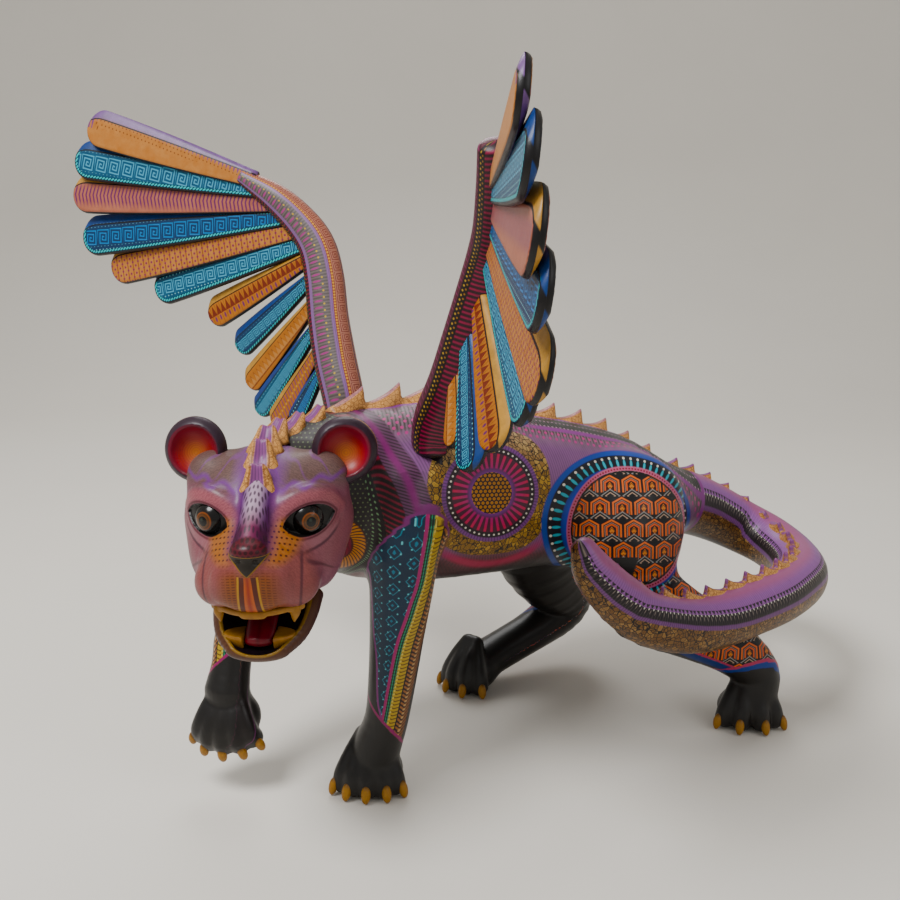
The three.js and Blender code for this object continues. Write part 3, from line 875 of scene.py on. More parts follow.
def plug(socket, value):
    if isinstance(value, Value):
        Tree.now.links.new(value.socket, socket)
    elif isinstance(value, str):
        socket.default_value = (*rgb(value), 1)
    elif isinstance(value, (tuple, list)):
        socket.default_value = (*value, 1) if len(socket.default_value) == 4 and len(value) == 3 else value
    else:
        socket.default_value = value


def node(kind, settings=None, **inputs):
    made = Tree.now.nodes.new("ShaderNode" + kind)
    for key, value in (settings or {}).items():
        setattr(made, key, value)
    for key, value in inputs.items():
        plug(made.inputs[key], value)
    return made


def op(kind, *args, clamp=False):
    made = node("Math", dict(operation=kind, use_clamp=clamp))
    for socket, value in zip(made.inputs, args):
        plug(socket, value)
    return Value(made.outputs[0])


def floor(x):
    return op("FLOOR", x)


def fract(x):
    return op("FRACT", x)


def sine(x):
    return op("SINE", x)


def most(a, b):
    return op("MAXIMUM", a, b)


def root(x):
    return op("SQRT", x)


def length(x, y):
    return root(x * x + y * y)


def turn_of(y, x):
    return op("ARCTAN2", y, x)


def ramp(x, low, high):
    """0 at low, 1 at high."""
    k = 1 / (high - low)
    return op("MULTIPLY_ADD", x, k, -low * k, clamp=True)


def band(x, low, high, soft=0.5):
    return ramp(x, low - soft / 2, low + soft / 2) * ramp(x, high + soft / 2, high - soft / 2)


def below(x, edge, soft=0.5):
    return ramp(x, edge + soft / 2, edge - soft / 2)


def mix(mask, a, b):
    """a where mask is 0, b where it is 1."""
    made = node("Mix", dict(data_type="RGBA"))
    plug(made.inputs[0], mask)
    plug(made.inputs[6], a)
    plug(made.inputs[7], b)
    return Value(made.outputs[2])


def shade(colour, amount):
    """Lighter or darker by a factor at each point."""
    made = node("HueSaturation")
    plug(made.inputs["Color"], colour)
    plug(made.inputs["Value"], amount)
    return Value(made.outputs[0])


def at(x, y, z=0.0):
    made = node("CombineXYZ")
    for socket, value in zip(made.inputs, (x, y, z)):
        plug(socket, value)
    return Value(made.outputs[0])


def layer(name):
    made = node("Attribute", dict(attribute_name=name))
    split = node("SeparateXYZ")
    Tree.now.links.new(made.outputs["Vector"], split.inputs[0])
    return Value(made.outputs["Vector"]), [Value(split.outputs[i]) for i in range(3)]


def noise(where, scale, detail=2.0, rough=0.5):
    made = node("TexNoise", Vector=where, Scale=scale, Detail=detail, Roughness=rough)
    return Value(made.outputs["Fac"])


def cells(where, scale, feature="F1"):
    made = node("TexVoronoi", dict(feature=feature), Vector=where, Scale=scale)
    return Value(made.outputs["Distance"])


def cell_tint(where, scale):
    made = node("TexVoronoi", Vector=where, Scale=scale)
    split = node("SeparateColor")
    Tree.now.links.new(made.outputs["Color"], split.inputs[0])
    return Value(split.outputs[0]), Value(made.outputs["Distance"])


def dots(u, v, du, dv, radius, stagger=0.0, soft=0.35):
    """Round dots on a lattice; stagger shifts every other row by that share."""
    row = v / dv
    if stagger:
        u = u + op("FLOORED_MODULO", floor(row), 2.0) * (stagger * du)
    x = (fract(u / du) - 0.5) * du
    y = (fract(row) - 0.5) * dv
    return below(length(x, y), radius, soft)


def bead_row(u, v, v0, du, radius, long_=1.0, soft=0.35):
    """One row of dots or dashes along v = v0; long_ stretches them across the row."""
    x = (fract(u / du) - 0.5) * du
    y = (v - v0) / long_
    return below(length(x, y), radius, soft)


def teeth_row(u, v, v0, v1, du):
    """Pointed teeth that stand on v0 and end at v1."""
    x = abs(fract(u / du) - 0.5) * 2.0
    t = (v - v0) / (v1 - v0)
    return (t > 0.0) * ramp(1.0 - t - x, -0.06, 0.06) * (t < 1.0)


def lines(v, pitch, width, soft=0.3):
    return below(abs(fract(v / pitch) - 0.5) * pitch, width / 2, soft)


def diamonds(u, v, du, dv, size, width, stagger=0.5):
    """Outlined diamonds on a staggered lattice, with a small one inside."""
    row = v / dv
    u = u + op("FLOORED_MODULO", floor(row), 2.0) * (stagger * du)
    x = abs(fract(u / du) - 0.5) * du
    y = abs(fract(row) - 0.5) * dv
    d = x * 0.85 + y
    return below(abs(d - size), width, 0.4), below(d, size * 0.28, 0.4)


def meander(u, v, du, half, width):
    """Square spirals side by side, joined along the band: a stepped fret."""
    x = (fract(u / du) - 0.5) * du
    y = v * (du / (2 * half))
    square = most(abs(x), abs(y))
    pitch = du / 5.2
    spiral = fract(square / pitch + turn_of(y, x) * (0.5 / math.pi))
    inside = below(square, du * 0.47, 0.2)
    return band(spiral, 0.5 - width / pitch / 2, 0.5 + width / pitch / 2, 0.15) * inside


def mosaic(where, scale):
    """Small stippled scrolls: a shade factor and a mask of dark gaps."""
    gap = cells(where, scale, "DISTANCE_TO_EDGE")
    tint, near = cell_tint(where, scale)
    rings = sine(near * 26.0) * 0.5 + 0.5
    return tint, rings, ramp(gap, 0.10, 0.03)


def finished(name, make, rough=0.42, bump=0.25, coat=0.12, depth=0.72, rich=1.12):
    """A painted and varnished material; make() gives its colour and, if it likes, its relief."""
    m = bpy.data.materials.new(name)
    m.use_nodes = True
    Tree.now = m.node_tree
    made = make()
    colour, relief = made if isinstance(made, tuple) else (made, None)
    where, _ = layer("rest")
    brush = noise(where, 0.22, 4.0, 0.6)
    fine = noise(where, 1.3, 3.0, 0.6)
    wear = ramp(noise(where, 0.06, 5.0, 0.65), 0.62, 0.78)
    colour = shade(colour, 0.84 + brush * 0.22 + fine * 0.10)
    colour = mix(wear * ramp(fine, 0.5, 0.75) * 0.25, colour, "#b49a7c")
    colour = Value(node("HueSaturation", Color=colour, Saturation=rich, Value=depth).outputs[0])
    shader = m.node_tree.nodes["Principled BSDF"]
    plug(shader.inputs["Base Color"], colour)
    plug(shader.inputs["Roughness"], rough - 0.08 + brush * 0.10 + fine * 0.10)
    shader.inputs["Specular IOR Level"].default_value = 0.24
    shader.inputs["Coat Weight"].default_value = coat
    shader.inputs["Coat Roughness"].default_value = 0.25
    height = fine * 0.35 + brush * 0.35
    if relief is not None:
        height = height + relief
    bumped = node("Bump", Height=height)
    bumped.inputs["Strength"].default_value = bump
    bumped.inputs["Distance"].default_value = 0.0006
    m.node_tree.links.new(bumped.outputs[0], shader.inputs["Normal"])
    return m


# ---- Paint of the body ---------------------------------------------------------------------------
EDGE = "#0d0a0c"
MAGENTA = "#a83c78"
MAROON = "#4a1c24"
WHITE = "#e2dccf"

FIELD = (48.0, 217.0)  # centre of the round flank field on the painter's oblique plane
RAY = 2 * math.pi / 34  # turn from one of its rays to the next
THIGH = (163.0, 186.0)  # centre of the thigh's field there


def oblique():
    """The painter's three-quarter view of a flank: across and up, in mm, the same on both sides."""
    where, (x, y, z) = layer("rest")
    side = abs(x)
    return where, side * 0.605 + y * 0.797, side * -0.1765 + y * 0.134 + z * 0.975, (x, y, z)


def scroll_ground(where, base, dark, light, scale=0.25):
    """A ground filled with small scrolls and dots."""
    tint, rings, gap = mosaic(where, scale)
    colour = mix(rings * 0.75, base, dark)
    colour = mix(ramp(tint, 0.55, 0.75) * rings, colour, light)
    return mix(gap, colour, EDGE)


def hatch(u, v, du, base, dark, depth=0.6):
    """Fine strokes that run with v and sit side by side along u."""
    wob = sine(v * 0.9) * 0.25
    return mix(lines(u + wob, du, du * 0.42, du * 0.3) * depth, base, dark)


def medallion(u, v, ground):
    """Woven gold disc, rays, a dotted dark ring and a purple rim."""
    x, y = u - FIELD[0], v - FIELD[1]
    r, a = length(x, y), turn_of(y, x)
    weave = dots(x, y, 3.4, 2.9, 1.25, 0.5)
    disc = mix(weave, EDGE, "#b07a44")
    ray = below(abs(fract(a / RAY) - 0.5) * RAY * r, 1.0, 0.5) * band(r, 18.5, 29.5, 1.2)
    inner = mix(ramp(r, 15.5, 20.0), "#7a3f86", "#4a2436")
    rays = mix(ray, inner, mix(ramp(r, 18, 28), MAGENTA, "#c23a5c"))
    spots = bead_row(a * 32.0, r, 32.0, 2 * math.pi * 32 / 52, 0.75)
    ring = mix(spots, "#241820", WHITE)
    rim = mix(lines(a * 36.0, 2.3, 0.9, 0.5) * 0.6, "#7b4a86", "#3d2440")
    colour = mix(r > 15.5, disc, rays)
    colour = mix(r > 29.8, colour, ring)
    colour = mix(ramp(r, 33.6, 34.6), colour, rim)
    return mix(ramp(r, 36.8, 37.6), colour, ground)


def thigh_reach(u, v):
    """0 at the heart of the thigh's field, 1 on its pink border, 2 at the outside of the blue ring."""
    x, y = u - THIGH[0], v - THIGH[1]
    tilt = math.radians(-14)
    p = x * math.cos(tilt) + y * math.sin(tilt)
    q = y * math.cos(tilt) - x * math.sin(tilt)
    inner = length(p / 50.0, q / 46.5)
    outer = length(p / 76.0, q / 62.0)
    return inner, outer, turn_of(q, p)


def lattice(u, v):
    """Rows of six-sided arches in orange over black, each with a small cube inside."""
    w, h = 17.6, 17.8
    row = v / h + 0.12
    x = (fract(u / w + op("FLOORED_MODULO", floor(row), 2.0) * 0.5 + 0.16) - 0.5) * w
    y = (fract(row) - 0.5) * h
    ax = abs(x)
    d = most(ax * 1.05, ax * 0.52 + y * 0.95) * (1 / 8.4)
    top = y > -5.6
    low = abs(y + 8.4) * 0.9 + ax * 0.62
    colour = mix(band(d, 0.80, 0.98, 0.05) * top, EDGE, "#ec7844")
    colour = mix(band(d, 0.64, 0.70, 0.04) * top, colour, "#a58c80")
    colour = mix(band(d, 0.42, 0.58, 0.05) * top * (y > -4.4), colour, "#e76434")
    colour = mix(below(ax + abs(y + 0.5) * 0.7, 2.3, 0.5), colour, "#d98a50")
    colour = mix(lines(ax + y, 3.1, 0.7, 0.4) * (y > -4.4) * (d < 0.40), colour, "#6b2c1c")
    colour = mix(below(abs(low - 4.6), 0.45, 0.35) * (y < -2.4), colour, "#8d8a86")
    return mix(below(abs(low - 2.4), 0.4, 0.35) * (y < -3.0), colour, "#b59a86")


def thigh(u, v, ground):
    """Blue ring with cyan dashes and white dots, a pink border and the lattice."""
    inner, outer, a = thigh_reach(u, v)
    span = 62.0
    blue = mix(ramp(outer, 0.70, 0.80), "#1a46b8", "#0c2470")
    blue = mix(ramp(outer, 0.925, 0.94), blue, "#12409c")
    blue = mix(band(outer, 0.775, 0.93, 0.012), blue, "#090d1a")
    blue = mix(bead_row(a * span, outer * span, 0.897 * span, 6.6, 1.05), blue, WHITE)
    blue = mix(bead_row(a * span, outer * span, 0.826 * span, 6.6, 1.25, 2.6), blue, "#3aa6b8")
    pink = mix(bead_row(a * 50.0, inner * 50.0, 51.2, 2.6, 0.8), "#bf6f88", "#8c2c3c")
    colour = mix(inner > 0.99, lattice(u, v), pink)
    colour = mix(ramp(inner, 1.055, 1.075), colour, blue)
    colour = mix(band(inner, 0.955, 0.985, 0.02), colour, EDGE)
    return mix(ramp(outer, 0.985, 1.005), colour, ground), ramp(outer, 1.005, 0.985)


def back_and_belly(where, u, v, p):
    """Purple stipple by the crest, pale rays down the shoulder, maroon hatching to the black belly."""
    x, y, z = p
    top = TORSO_TOP(y)
    down = root(x * x + (z - top + 2.0) * (z - top + 2.0))
    grey = noise(where, 0.11, 3.0)
    colour = mix(ramp(grey, 0.35, 0.65), "#8b6a80", "#6d5a62")
    stroke = lines(y + down * 0.5, 3.4, 1.4, 1.0)
    colour = mix(stroke * band(down, 11, 40, 8), colour, "#3c3434")
    colour = mix(dots(y + down * 0.5, down, 7.0, 5.6, 1.5, 0.5) * band(down, 20, 44, 2), colour, "#c2568e")
    colour = mix(ramp(down, 38, 52) * 0.8, colour, mix(lines(y, 2.6, 1.1, 0.9) * 0.6, "#8a5c8e", "#4c3050"))
    rump = ramp(y, 50, 95)
    dark = mix(lines(y + down * 0.3, 3.0, 1.1, 0.8) * 0.7, "#241c20", "#56605a")
    dark = mix(dots(y, down - 15.0, 4.4, 8.0, 0.8, 0.5), dark, "#c9a0b8")
    colour = mix(band(down, 10, 28, 2) * rump, colour, dark)
    colour = mix(band(down, 28, 33, 1.5) * rump, colour, "#8a4488")
    colour = mix(band(down, 4, 10, 2.5), colour, mix(lines(y, 1.9, 0.7, 0.6) * 0.5, "#8d4f96", "#5a2f62"))
    x2, y2 = u - FIELD[0], v - FIELD[1]
    low = ramp(v, 182, 166)
    below_field = length(x2, y2)
    skirt = hatch(turn_of(y2, x2) * 56.0, below_field, 2.4, "#6a3a44", "#2e171b")
    skirt = mix(band(below_field, 53.5, 59.5, 3.0), skirt, "#a32a4c")
    skirt = mix(ramp(below_field, 60, 66), skirt, hatch(u + v * 0.3, v, 2.6, MAROON, "#21100f", 0.7))
    skirt = mix(ramp(z, 170, 158), skirt, "#17100f")
    return mix(low, colour, skirt)


def TORSO_TOP(y):
    """Height of the back at a place along it."""
    rows = [(r[1], r[2] + r[4]) for r in TORSO]
    curve = node("FloatCurve")
    low, high = rows[0][0], rows[-1][0]
    points = curve.mapping.curves[0].points
    spots = [((a - low) / (high - low), b / 400) for a, b in rows]
    points[0].location, points[1].location = spots[0], spots[-1]
    for spot in spots[1:-1]:
        points.new(*spot)
    curve.mapping.update()
    plug(curve.inputs["Value"], (y - low) / (high - low))
    return Value(curve.outputs[0]) * 400.0


def neck(u, v, p, ground):
    """Bands round the neck: black with crimson rays, magenta, then purple and grey strokes."""
    x, y, z = p
    t = y + (z - 235) * 0.05 + sine(z * 0.05) * 1.5
    dark = mix(dots(z + abs(x), t, 3.4, 3.6, 0.7, 0.5), "#1a1113", "#6f8f6a")
    colour = mix(lines(z + abs(x) * 0.6, 3.4, 1.3, 0.8), "#180c0c", "#7c2236")
    colour = mix(ramp(t, -88.5, -89.5), colour, dark)
    wash = mix(lines(z + t * 0.4, 2.4, 1.1, 0.8), "#64405c", "#372430")
    colour = mix(ramp(t, -77.5, -76.5), colour, wash)
    colour = mix(band(t, -70.5, -65.0, 3.0), colour, "#7a3468")
    r, spin = length(u + 62.0, v - 184.0), turn_of(v - 184.0, u + 62.0)
    flame = lines(spin * 17.0 + r * 0.5, 2.5, 1.5, 0.6) * band(r, 11.5, 19.5, 1.0)
    front = mix(dots(u, v, 3.2, 3.2, 0.55, 0.5), "#20191a", "#5f6a4c")
    front = mix(band(r, 10.5, 20.5, 1.0) * (u > -66.0), front, "#3a1a14")
    front = mix(flame * (u > -66.0), front, "#c47f36")
    front = mix(below(r, 10.5, 1.0), front, hatch(u, v, 2.4, "#7a2436", "#3f1420"))
    colour = mix(ramp(t, -96, -98), colour, front)
    keep = ramp(t, -55.0, -57.0) * ramp(z, 168, 176)
    return mix(keep, ground, colour)


def body_group():
    """The whole flank painting as one node group, so that neighbouring pieces share it."""
    group = bpy.data.node_groups.new("flank_painting", "ShaderNodeTree")
    group.interface.new_socket("Color", in_out="OUTPUT", socket_type="NodeSocketColor")
    group.interface.new_socket("Thigh", in_out="OUTPUT", socket_type="NodeSocketFloat")
    Tree.now = group
    where, u, v, p = oblique()
    ground = back_and_belly(where, u, v, p)
    x, y = abs(u - FIELD[0]) / 47.5, abs(v - FIELD[1]) / 48.0
    span = op("POWER", op("POWER", x, 2.6) + op("POWER", y, 2.6), 1 / 2.6)
    field = scroll_ground(where, "#a27a34", "#4f3216", "#c9a55a")
    pale = scroll_ground(where, "#b49a80", "#7c5a4c", "#c8b08c")
    field = mix(ramp(v, 228, 262) * 0.75, field, pale)
    colour = mix(ramp(span, 1.01, 0.99), ground, field)
    colour = medallion(u, v, colour)
    colour = neck(u, v, p, colour)
    colour, mask = thigh(u, v, colour)
    out = group.nodes.new("NodeGroupOutput")
    plug(out.inputs[0], colour)
    plug(out.inputs[1], mask)
    return group


def flank():
    made = Tree.now.nodes.new("ShaderNodeGroup")
    made.node_tree = FLANK
    return Value(made.outputs[0]), Value(made.outputs[1])


def follow(x, rows):
    """A smooth curve through (x, y) rows, followed by x."""
    curve = node("FloatCurve")
    low, high = rows[0][0], rows[-1][0]
    bottom, top = min(r[1] for r in rows), max(r[1] for r in rows)
    points = curve.mapping.curves[0].points
    spots = [((a - low) / (high - low), (b - bottom) / (top - bottom)) for a, b in rows]
    points[0].location, points[1].location = spots[0], spots[-1]
    for spot in spots[1:-1]:
        points.new(*spot)
    curve.mapping.update()
    plug(curve.inputs["Value"], ramp(x, low, high))
    return Value(curve.outputs[0]) * (top - bottom) + bottom


# ---- Paint of legs and tail ----------------------------------------------------------------------


def black_paint():
    where, _ = layer("rest")
    return mix(noise(where, 0.05, 3.0), "#141214", "#26231f")


def limb_layer():
    _, (s, t, _) = layer("local")
    return s, t * (180 / math.pi)


def front_leg(twist):
    """Blue diamond panel between magenta lines, then green dots, gold beads and a brown braid."""

    def make():
        s, t = limb_layer()
        where, _ = layer("rest")
        if twist:
            t = t + ramp(s, 60, 160) * twist
        edge = follow(s, [(0, -6), (34, -3), (75, -18), (108, -34), (144, -44), (173, -50), (200, -54)])
        inner = follow(s, [(0, -112), (51, -103), (90, -94), (122, -78), (155, -68), (173, -51), (200, -40)])
        arc = t * 0.36
        big, small = diamonds(s, arc, 13.0, 11.5, 4.0, 0.32)
        blue = mix(noise(where, 0.03, 2.0), "#082338", "#0e3350")
        blue = mix(big, blue, "#3f8aa0")
        blue = mix(small, blue, "#2f7f9c")
        blue = mix(dots(s + 3.0, arc + 5.0, 6.5, 5.7, 0.55, 0.5), blue, "#7fd0d8")
        k = t - edge
        green = mix(dots(s, k, 2.7, 5.0, 1.3, 0.0), "#12261a", "#2f9a72")
        beads = mix(lines(s + abs(k - 23.0) * 0.08, 3.1, 1.0, 0.5), "#c9a83c", "#6b4c12")
        beads = mix(bead_row(s, k, 16.0, 3.1, 1.0, 2.2), beads, "#e6d27a")
        braid = mix(lines(s + abs(k - 52.0) * 0.22, 3.4, 1.7, 0.6), "#2a160e", "#a9714a")
        braid = mix(bead_row(s, k, 52.0, 3.4, 0.9, 5.0), braid, "#d0a878")
        paint = mix(k > 3.0, blue, green)
        paint = mix(k > 13.0, paint, beads)
        paint = mix(band(k, 34.5, 38.5, 1.2), paint, EDGE)
        paint = mix(k > 38.0, paint, braid)
        paint = mix(band(k, -3.4, 3.2, 1.0), paint, "#b03a76")
        left = t - inner
        paint = mix(band(left, -2.5, 3.0, 1.2), paint, "#8a3f80")
        black = black_paint()
        paint = mix(ramp(left, -2.0, -3.2), paint, black)
        paint = mix(ramp(k, 69, 71), paint, black)
        end = s - (t + 40.0) * 0.23 - 174.0
        paint = mix(band(end, -1.6, 1.4, 0.8), paint, "#a03a70")
        paint = mix(ramp(end, 0.6, 1.8), paint, black)
        top = s - 12.0 - op("MULTIPLY", t, t) * 0.0034
        ground, _ = flank()
        paint = mix(band(top, -1.6, 1.2, 0.8), paint, "#7c3a70")
        return mix(ramp(top, -0.4, -1.6), paint, ground)

    return make


def rear_leg():
    s, t = limb_layer()
    ground, _ = flank()
    _, u, v, _ = oblique()
    black = black_paint()
    shin = mix(ramp(s, 84, 92), ground, lattice(u, v))
    front = -t - 42.0 + ramp(s, 150, 60) * 40.0
    shin = mix(band(front, 0, 5, 1) * (s > 84.0), shin, "#b5526c")
    shin = mix(ramp(front, 5, 6) * (s > 84.0), shin, "#15357a")
    shin = mix(ramp(front, 24, 27) * (s > 60.0), shin, black)
    ankle = s - t * 0.35 - 208.0
    shin = mix(ramp(ankle, 0, 0.8), shin, "#b5526c")
    shin = mix(ramp(ankle, 4, 5), shin, "#173a8c")
    shin = mix(ramp(ankle, 10.5, 12), shin, black)
    away = ramp(abs(t), 96, 100) * ramp(s, 20, 30)
    return mix(away, shin, black)


def tail_paint():
    """Purple teeth by the crest, a black band with white dots, a purple line and a scroll ground."""
    s, t = limb_layer()
    where, _ = layer("rest")
    start = follow(s, [(0, 55), (100, 52), (260, 44), (375, 52), (460, 42), (515, 66), (560, 80), (640, 84)])
    k = abs(t) - start
    purple = mix(lines(s, 2.2, 0.9, 0.7) * 0.5, "#a06aa8", "#704880")
    pink = mix(ramp(k, -30, -12), "#a8648c", purple)
    black = mix(lines(s, 2.4, 0.6, 0.5) * 0.6, "#1b1518", "#4f4348")
    tooth = teeth_row(s, -k, -9.0, 1.0, 4.4)
    black = mix(bead_row(s, k, 9.5, 4.4, 0.62, 6.0), black, WHITE)
    black = mix(bead_row(s + 2.2, k, 17.0, 4.4, 0.35, 14.0), black, "#8d8078")
    low = scroll_ground(where, "#8a6336", "#4a3020", "#b08a58", 0.27)
    colour = mix(ramp(k, -0.8, 0.4), pink, black)
    colour = mix(tooth, colour, purple)
    colour = mix(ramp(k, 30.0, 33.0), colour, mix(lines(s, 2.0, 0.8, 0.6) * 0.5, "#7d4f86", "#3c2540"))
    colour = mix(ramp(k, 39.0, 42.0), colour, low)
    colour = mix(band(abs(t), 148, 190, 8) * ramp(s, 200, 120), colour, "#2a1b1c")
    ground, _ = flank()
    colour = mix(band(s, 40, 46, 1.5), colour, "#8a4488")
    return mix(ramp(s, 41.5, 40.5), colour, ground)


# ---- Paint of the head ---------------------------------------------------------------------------


def head_paint():
    where, (x, y, z) = layer("local")
    _, (lid_, _, _) = layer("eye")
    side = abs(x)
    fine = noise(where, 0.35, 4.0, 0.7)
    broad = noise(where, 0.07, 3.0, 0.6)
    streak = lines(side * 0.5 + z * 0.8 + y * 0.4 + fine * 7.0 + broad * 6.0, 1.9, 0.8, 0.7)
    colour = mix(streak * 0.45, "#8d6070", "#5f3a4b")
    cheek = ramp(length(side - 42.0, z + 8.0), 34, 12)
    colour = mix(cheek * 0.6, colour, mix(streak * 0.35, "#9c6c6e", "#75464c"))
    # Forehead, and the lilac waves that run from the crest round the brows.
    brown = mix(streak * 0.6, "#76605c", "#4a3a3a")
    colour = mix(ramp(z - side * 0.12 + y * 0.18, 10, 20), colour, brown)
    wave = sine(side * 0.42 + broad * 3.0) * 1.6
    swoop = z - 24.0 - side * 0.12 + y * 0.05 + wave
    colour = mix(band(swoop, -2.2, 0.6, 2.6) * ramp(y, 5, -10) * 0.75, colour, "#7d4f92")
    rays = z + side * 0.9 + wave
    colour = mix(band(fract(rays / 13.0), 0.42, 0.52, 0.10) * ramp(z, 24, 34) * 0.55, colour, "#83568f")
    colour = mix(ramp(side, 20, 11) * ramp(z, 12, 24) * 0.6, colour, "#84549a")
    # Pink lids, brow ridge, and the shadow lines under the eyes.
    brow = band(lid_, 2.2, 9.5, 3.0) * ramp(z, 4, 12) * ramp(y, -6, -16)
    colour = mix(brow * 0.9, colour, mix(streak * 0.6, "#b27a80", "#86525c"))
    colour = mix(band(lid_, 0.9, 2.4, 0.8) * 0.9, colour, "#5c3038")
    bag = band(lid_, 2.4, 8.0, 1.6) * ramp(z, 2, -3)
    colour = mix(bag * 0.45, colour, "#ad8088")
    under = band(lid_, 7.8, 9.8, 1.2) * ramp(z, 2, -4) * ramp(y, -14, -24)
    colour = mix(under * 0.8, colour, "#452634")
    # Muzzle: mauve pads, tan beside the nose and over the lip, rows of ticks.
    pad = ramp(y + side * 0.5, -24, -44) * ramp(z, 4, -8)
    colour = mix(pad * 0.8, colour, mix(streak * 0.4, "#996460", "#6e4240"))
    cheek_tan = ramp(length((side - 18.0) * 0.95, z + 1.0), 13.5, 8.0) * ramp(y, -42, -50)
    colour = mix(cheek_tan * 0.75, colour, mix(fine, "#c08f62", "#94603f"))
    ticks = dots(side + z * 0.3, z * 0.8 + y * 0.4, 2.6, 3.6, 0.62, 0.5)
    colour = mix(ticks * cheek_tan, colour, "#42201c")
    tan = ramp(side + (z + 26.0) * 0.15, 22, 12) * ramp(y, -48, -62) * ramp(z, -12, -20)
    colour = mix(tan * 0.85, colour, mix(fine, "#a0704c", "#7d4734"))
    dashes = lines(z + side * 0.12, 1.9, 0.7, 0.5) * lines(side - 1.0, 3.3, 2.3, 0.5)
    colour = mix(dashes * ramp(side, 21, 17) * tan * 0.8, colour, "#4f241a")
    # Dark lines, sunk a little by the relief, along the side of the muzzle and under each cheek: painted
    # shade in these folds.
    crease = band(side - 31.0 - op("MULTIPLY", z + 24.0, z + 24.0) * -0.006, -0.7, 0.9, 0.8)
    crease = crease * ramp(y, -24, -34) * ramp(z, -6, -12)
    colour = mix(crease * 0.75, colour, "#4c2a34")
    fold = band(z + 22.0 + (side - 40.0) * 1.0, -0.9, 0.9, 0.9) * band(side, 33, 47, 3) * ramp(y, -10, -20)
    colour = mix(fold * 0.7, colour, "#4f2c36")
    # Nose ridge with its grid of dots and a painted highlight down its middle, dark nose top, leather and
    # furrow.
    width = 7.2 + ramp(y, -30, -72) * 4.0
    glow = ramp(side - width, 7.0, 0.0) * ramp(y, -24, -40) * ramp(z, -10, -4)
    colour = mix(glow * 0.75, colour, "#5d3568")
    on_ridge = ramp(side - width, 0.8, -0.8) * ramp(y, -24, -34) * (z > -8.0)
    # Pale lilac down the middle of the upper ridge, turning purple at its sides: a painted highlight along
    # the ridge's crown.
    ridge_and_highlight = mix(ramp(side, 2.5, 8.5), "#c0a8bc", "#6a4478")
    ridge_and_highlight = mix(ramp(y, -56, -69), ridge_and_highlight, mix(ramp(side, 0, 7), "#7d3a58", "#451a38"))
    ridge_and_highlight = mix(dots(x, y * 0.8 - z * 0.5, 2.6, 2.3, 0.72, 0.5) * 0.8, ridge_and_highlight, "#2c1428")
    colour = mix(on_ridge, colour, ridge_and_highlight)
    tip = below(side - 11.8 - (z + 2.0) * 0.15, 0.0, 0.8) * ramp(y, -74.0, -76.0) * (z > -7.0)
    rings = dots(x, z, 3.4, 2.9, 1.15, 0.5)
    colour = mix(tip, colour, mix(rings * 0.8, "#5a1c28", "#260a10"))
    drop = (z + 4.6) * 0.98
    rim = below(side - 13.3 - drop, 0.0, 0.5) * (y < -68.0) * (z < -4.4) * (z > -19.5)
    leather = below(side - 12.2 - drop, 0.0, 0.5) * (y < -69.0) * (z < -4.8) * (z > -18.0)
    colour = mix(rim, colour, "#8f6a34")
    colour = mix(leather, colour, mix(fine, "#14100e", "#2c261f"))
    furrow = (y < -66.0) * (z < -17.6)
    flare = side - (z + 18.0) * -0.06
    colour = mix(below(flare, 6.6, 0.4) * furrow, colour, "#c08f38")
    colour = mix(below(flare, 5.3, 0.4) * furrow, colour, "#5a2418")
    colour = mix(below(flare, 2.1, 0.4) * furrow, colour, mix(ramp(side, 0.3, 2.2), "#a03a22", "#c8683a"))
    # Black round the eyes and inside the mouth.
    colour = mix(below(lid_, 0.5, 0.5) * (y < -4.0), colour, "#0e0b0a")
    inside = (z < -44.8) * (y < -10.0)
    colour = mix(inside, colour, "#1a1014")
    colour = mix((z < -40.0) * (y > -14.0), colour, "#2a1416")
    relief = ticks * cheek_tan * 0.5 - under * 0.8 - crease * 0.8 - fold * 0.8
    return colour, relief


def jaw_paint():
    where, (x, y, _) = layer("local")
    _, (outer, inner, _) = layer("eye")
    fine = noise(where, 0.4, 3.0)
    colour = mix(lines(x * 0.3 + y + fine * 2.0, 2.0, 0.7, 0.7) * 0.5, "#5c332c", "#341a17")
    colour = mix(ramp(inner, 6.5, 4.5) * 0.5, colour, mix(fine, "#8a5a2e", "#5c3420"))
    colour = mix(ramp(outer, -1.4, -2.0), colour, mix(fine, "#120c10", "#2c1c26"))
    rim_ = ramp(inner, 2.2, 1.5) * ramp(outer, -2.0, -1.4)
    return mix(rim_, colour, mix(fine, "#c09a48", "#9a6c2e"))


def ear_paint(side):
    centre = 52.0 if side > 0 else -48.5

    def make():
        where, (x, y, z) = layer("local")
        p, q = x - centre - side * 0.5, z - 43.5
        r = length(p, q + 3.0)
        glow = mix(ramp(r, 1.5, 9), "#c8763a", "#b04230")
        glow = mix(ramp(r, 7, 15), glow, "#92283a")
        glow = mix(lines(r + noise(where, 0.2) * 1.6, 1.5, 0.5, 0.7) * 0.4, glow, "#7d2032")
        glow = mix(ramp(length(p, q), 14.5, 18.0) * 0.9, glow, "#3d162a")
        shell = mix(ramp(length(p, q), 19, 23), "#4a3044", "#2a1a26")
        shell = mix(lines(z + p * 0.5, 2.2, 0.8, 0.7) * 0.4, shell, "#7a4f74")
        gold = band(y, 7.0, 10.0, 1.0) * (length(p, q) > 18.0)
        shell = mix(gold, shell, "#b98a3c")
        bowl = below(length(p, q), 17.6, 0.8) * (y < 9.0)
        rim = mix(noise(where, 0.3), "#20131c", "#3d2838")
        colour = mix(ramp(y, 4.5, 6.5), rim, shell)
        return mix(bowl, colour, glow)

    return make


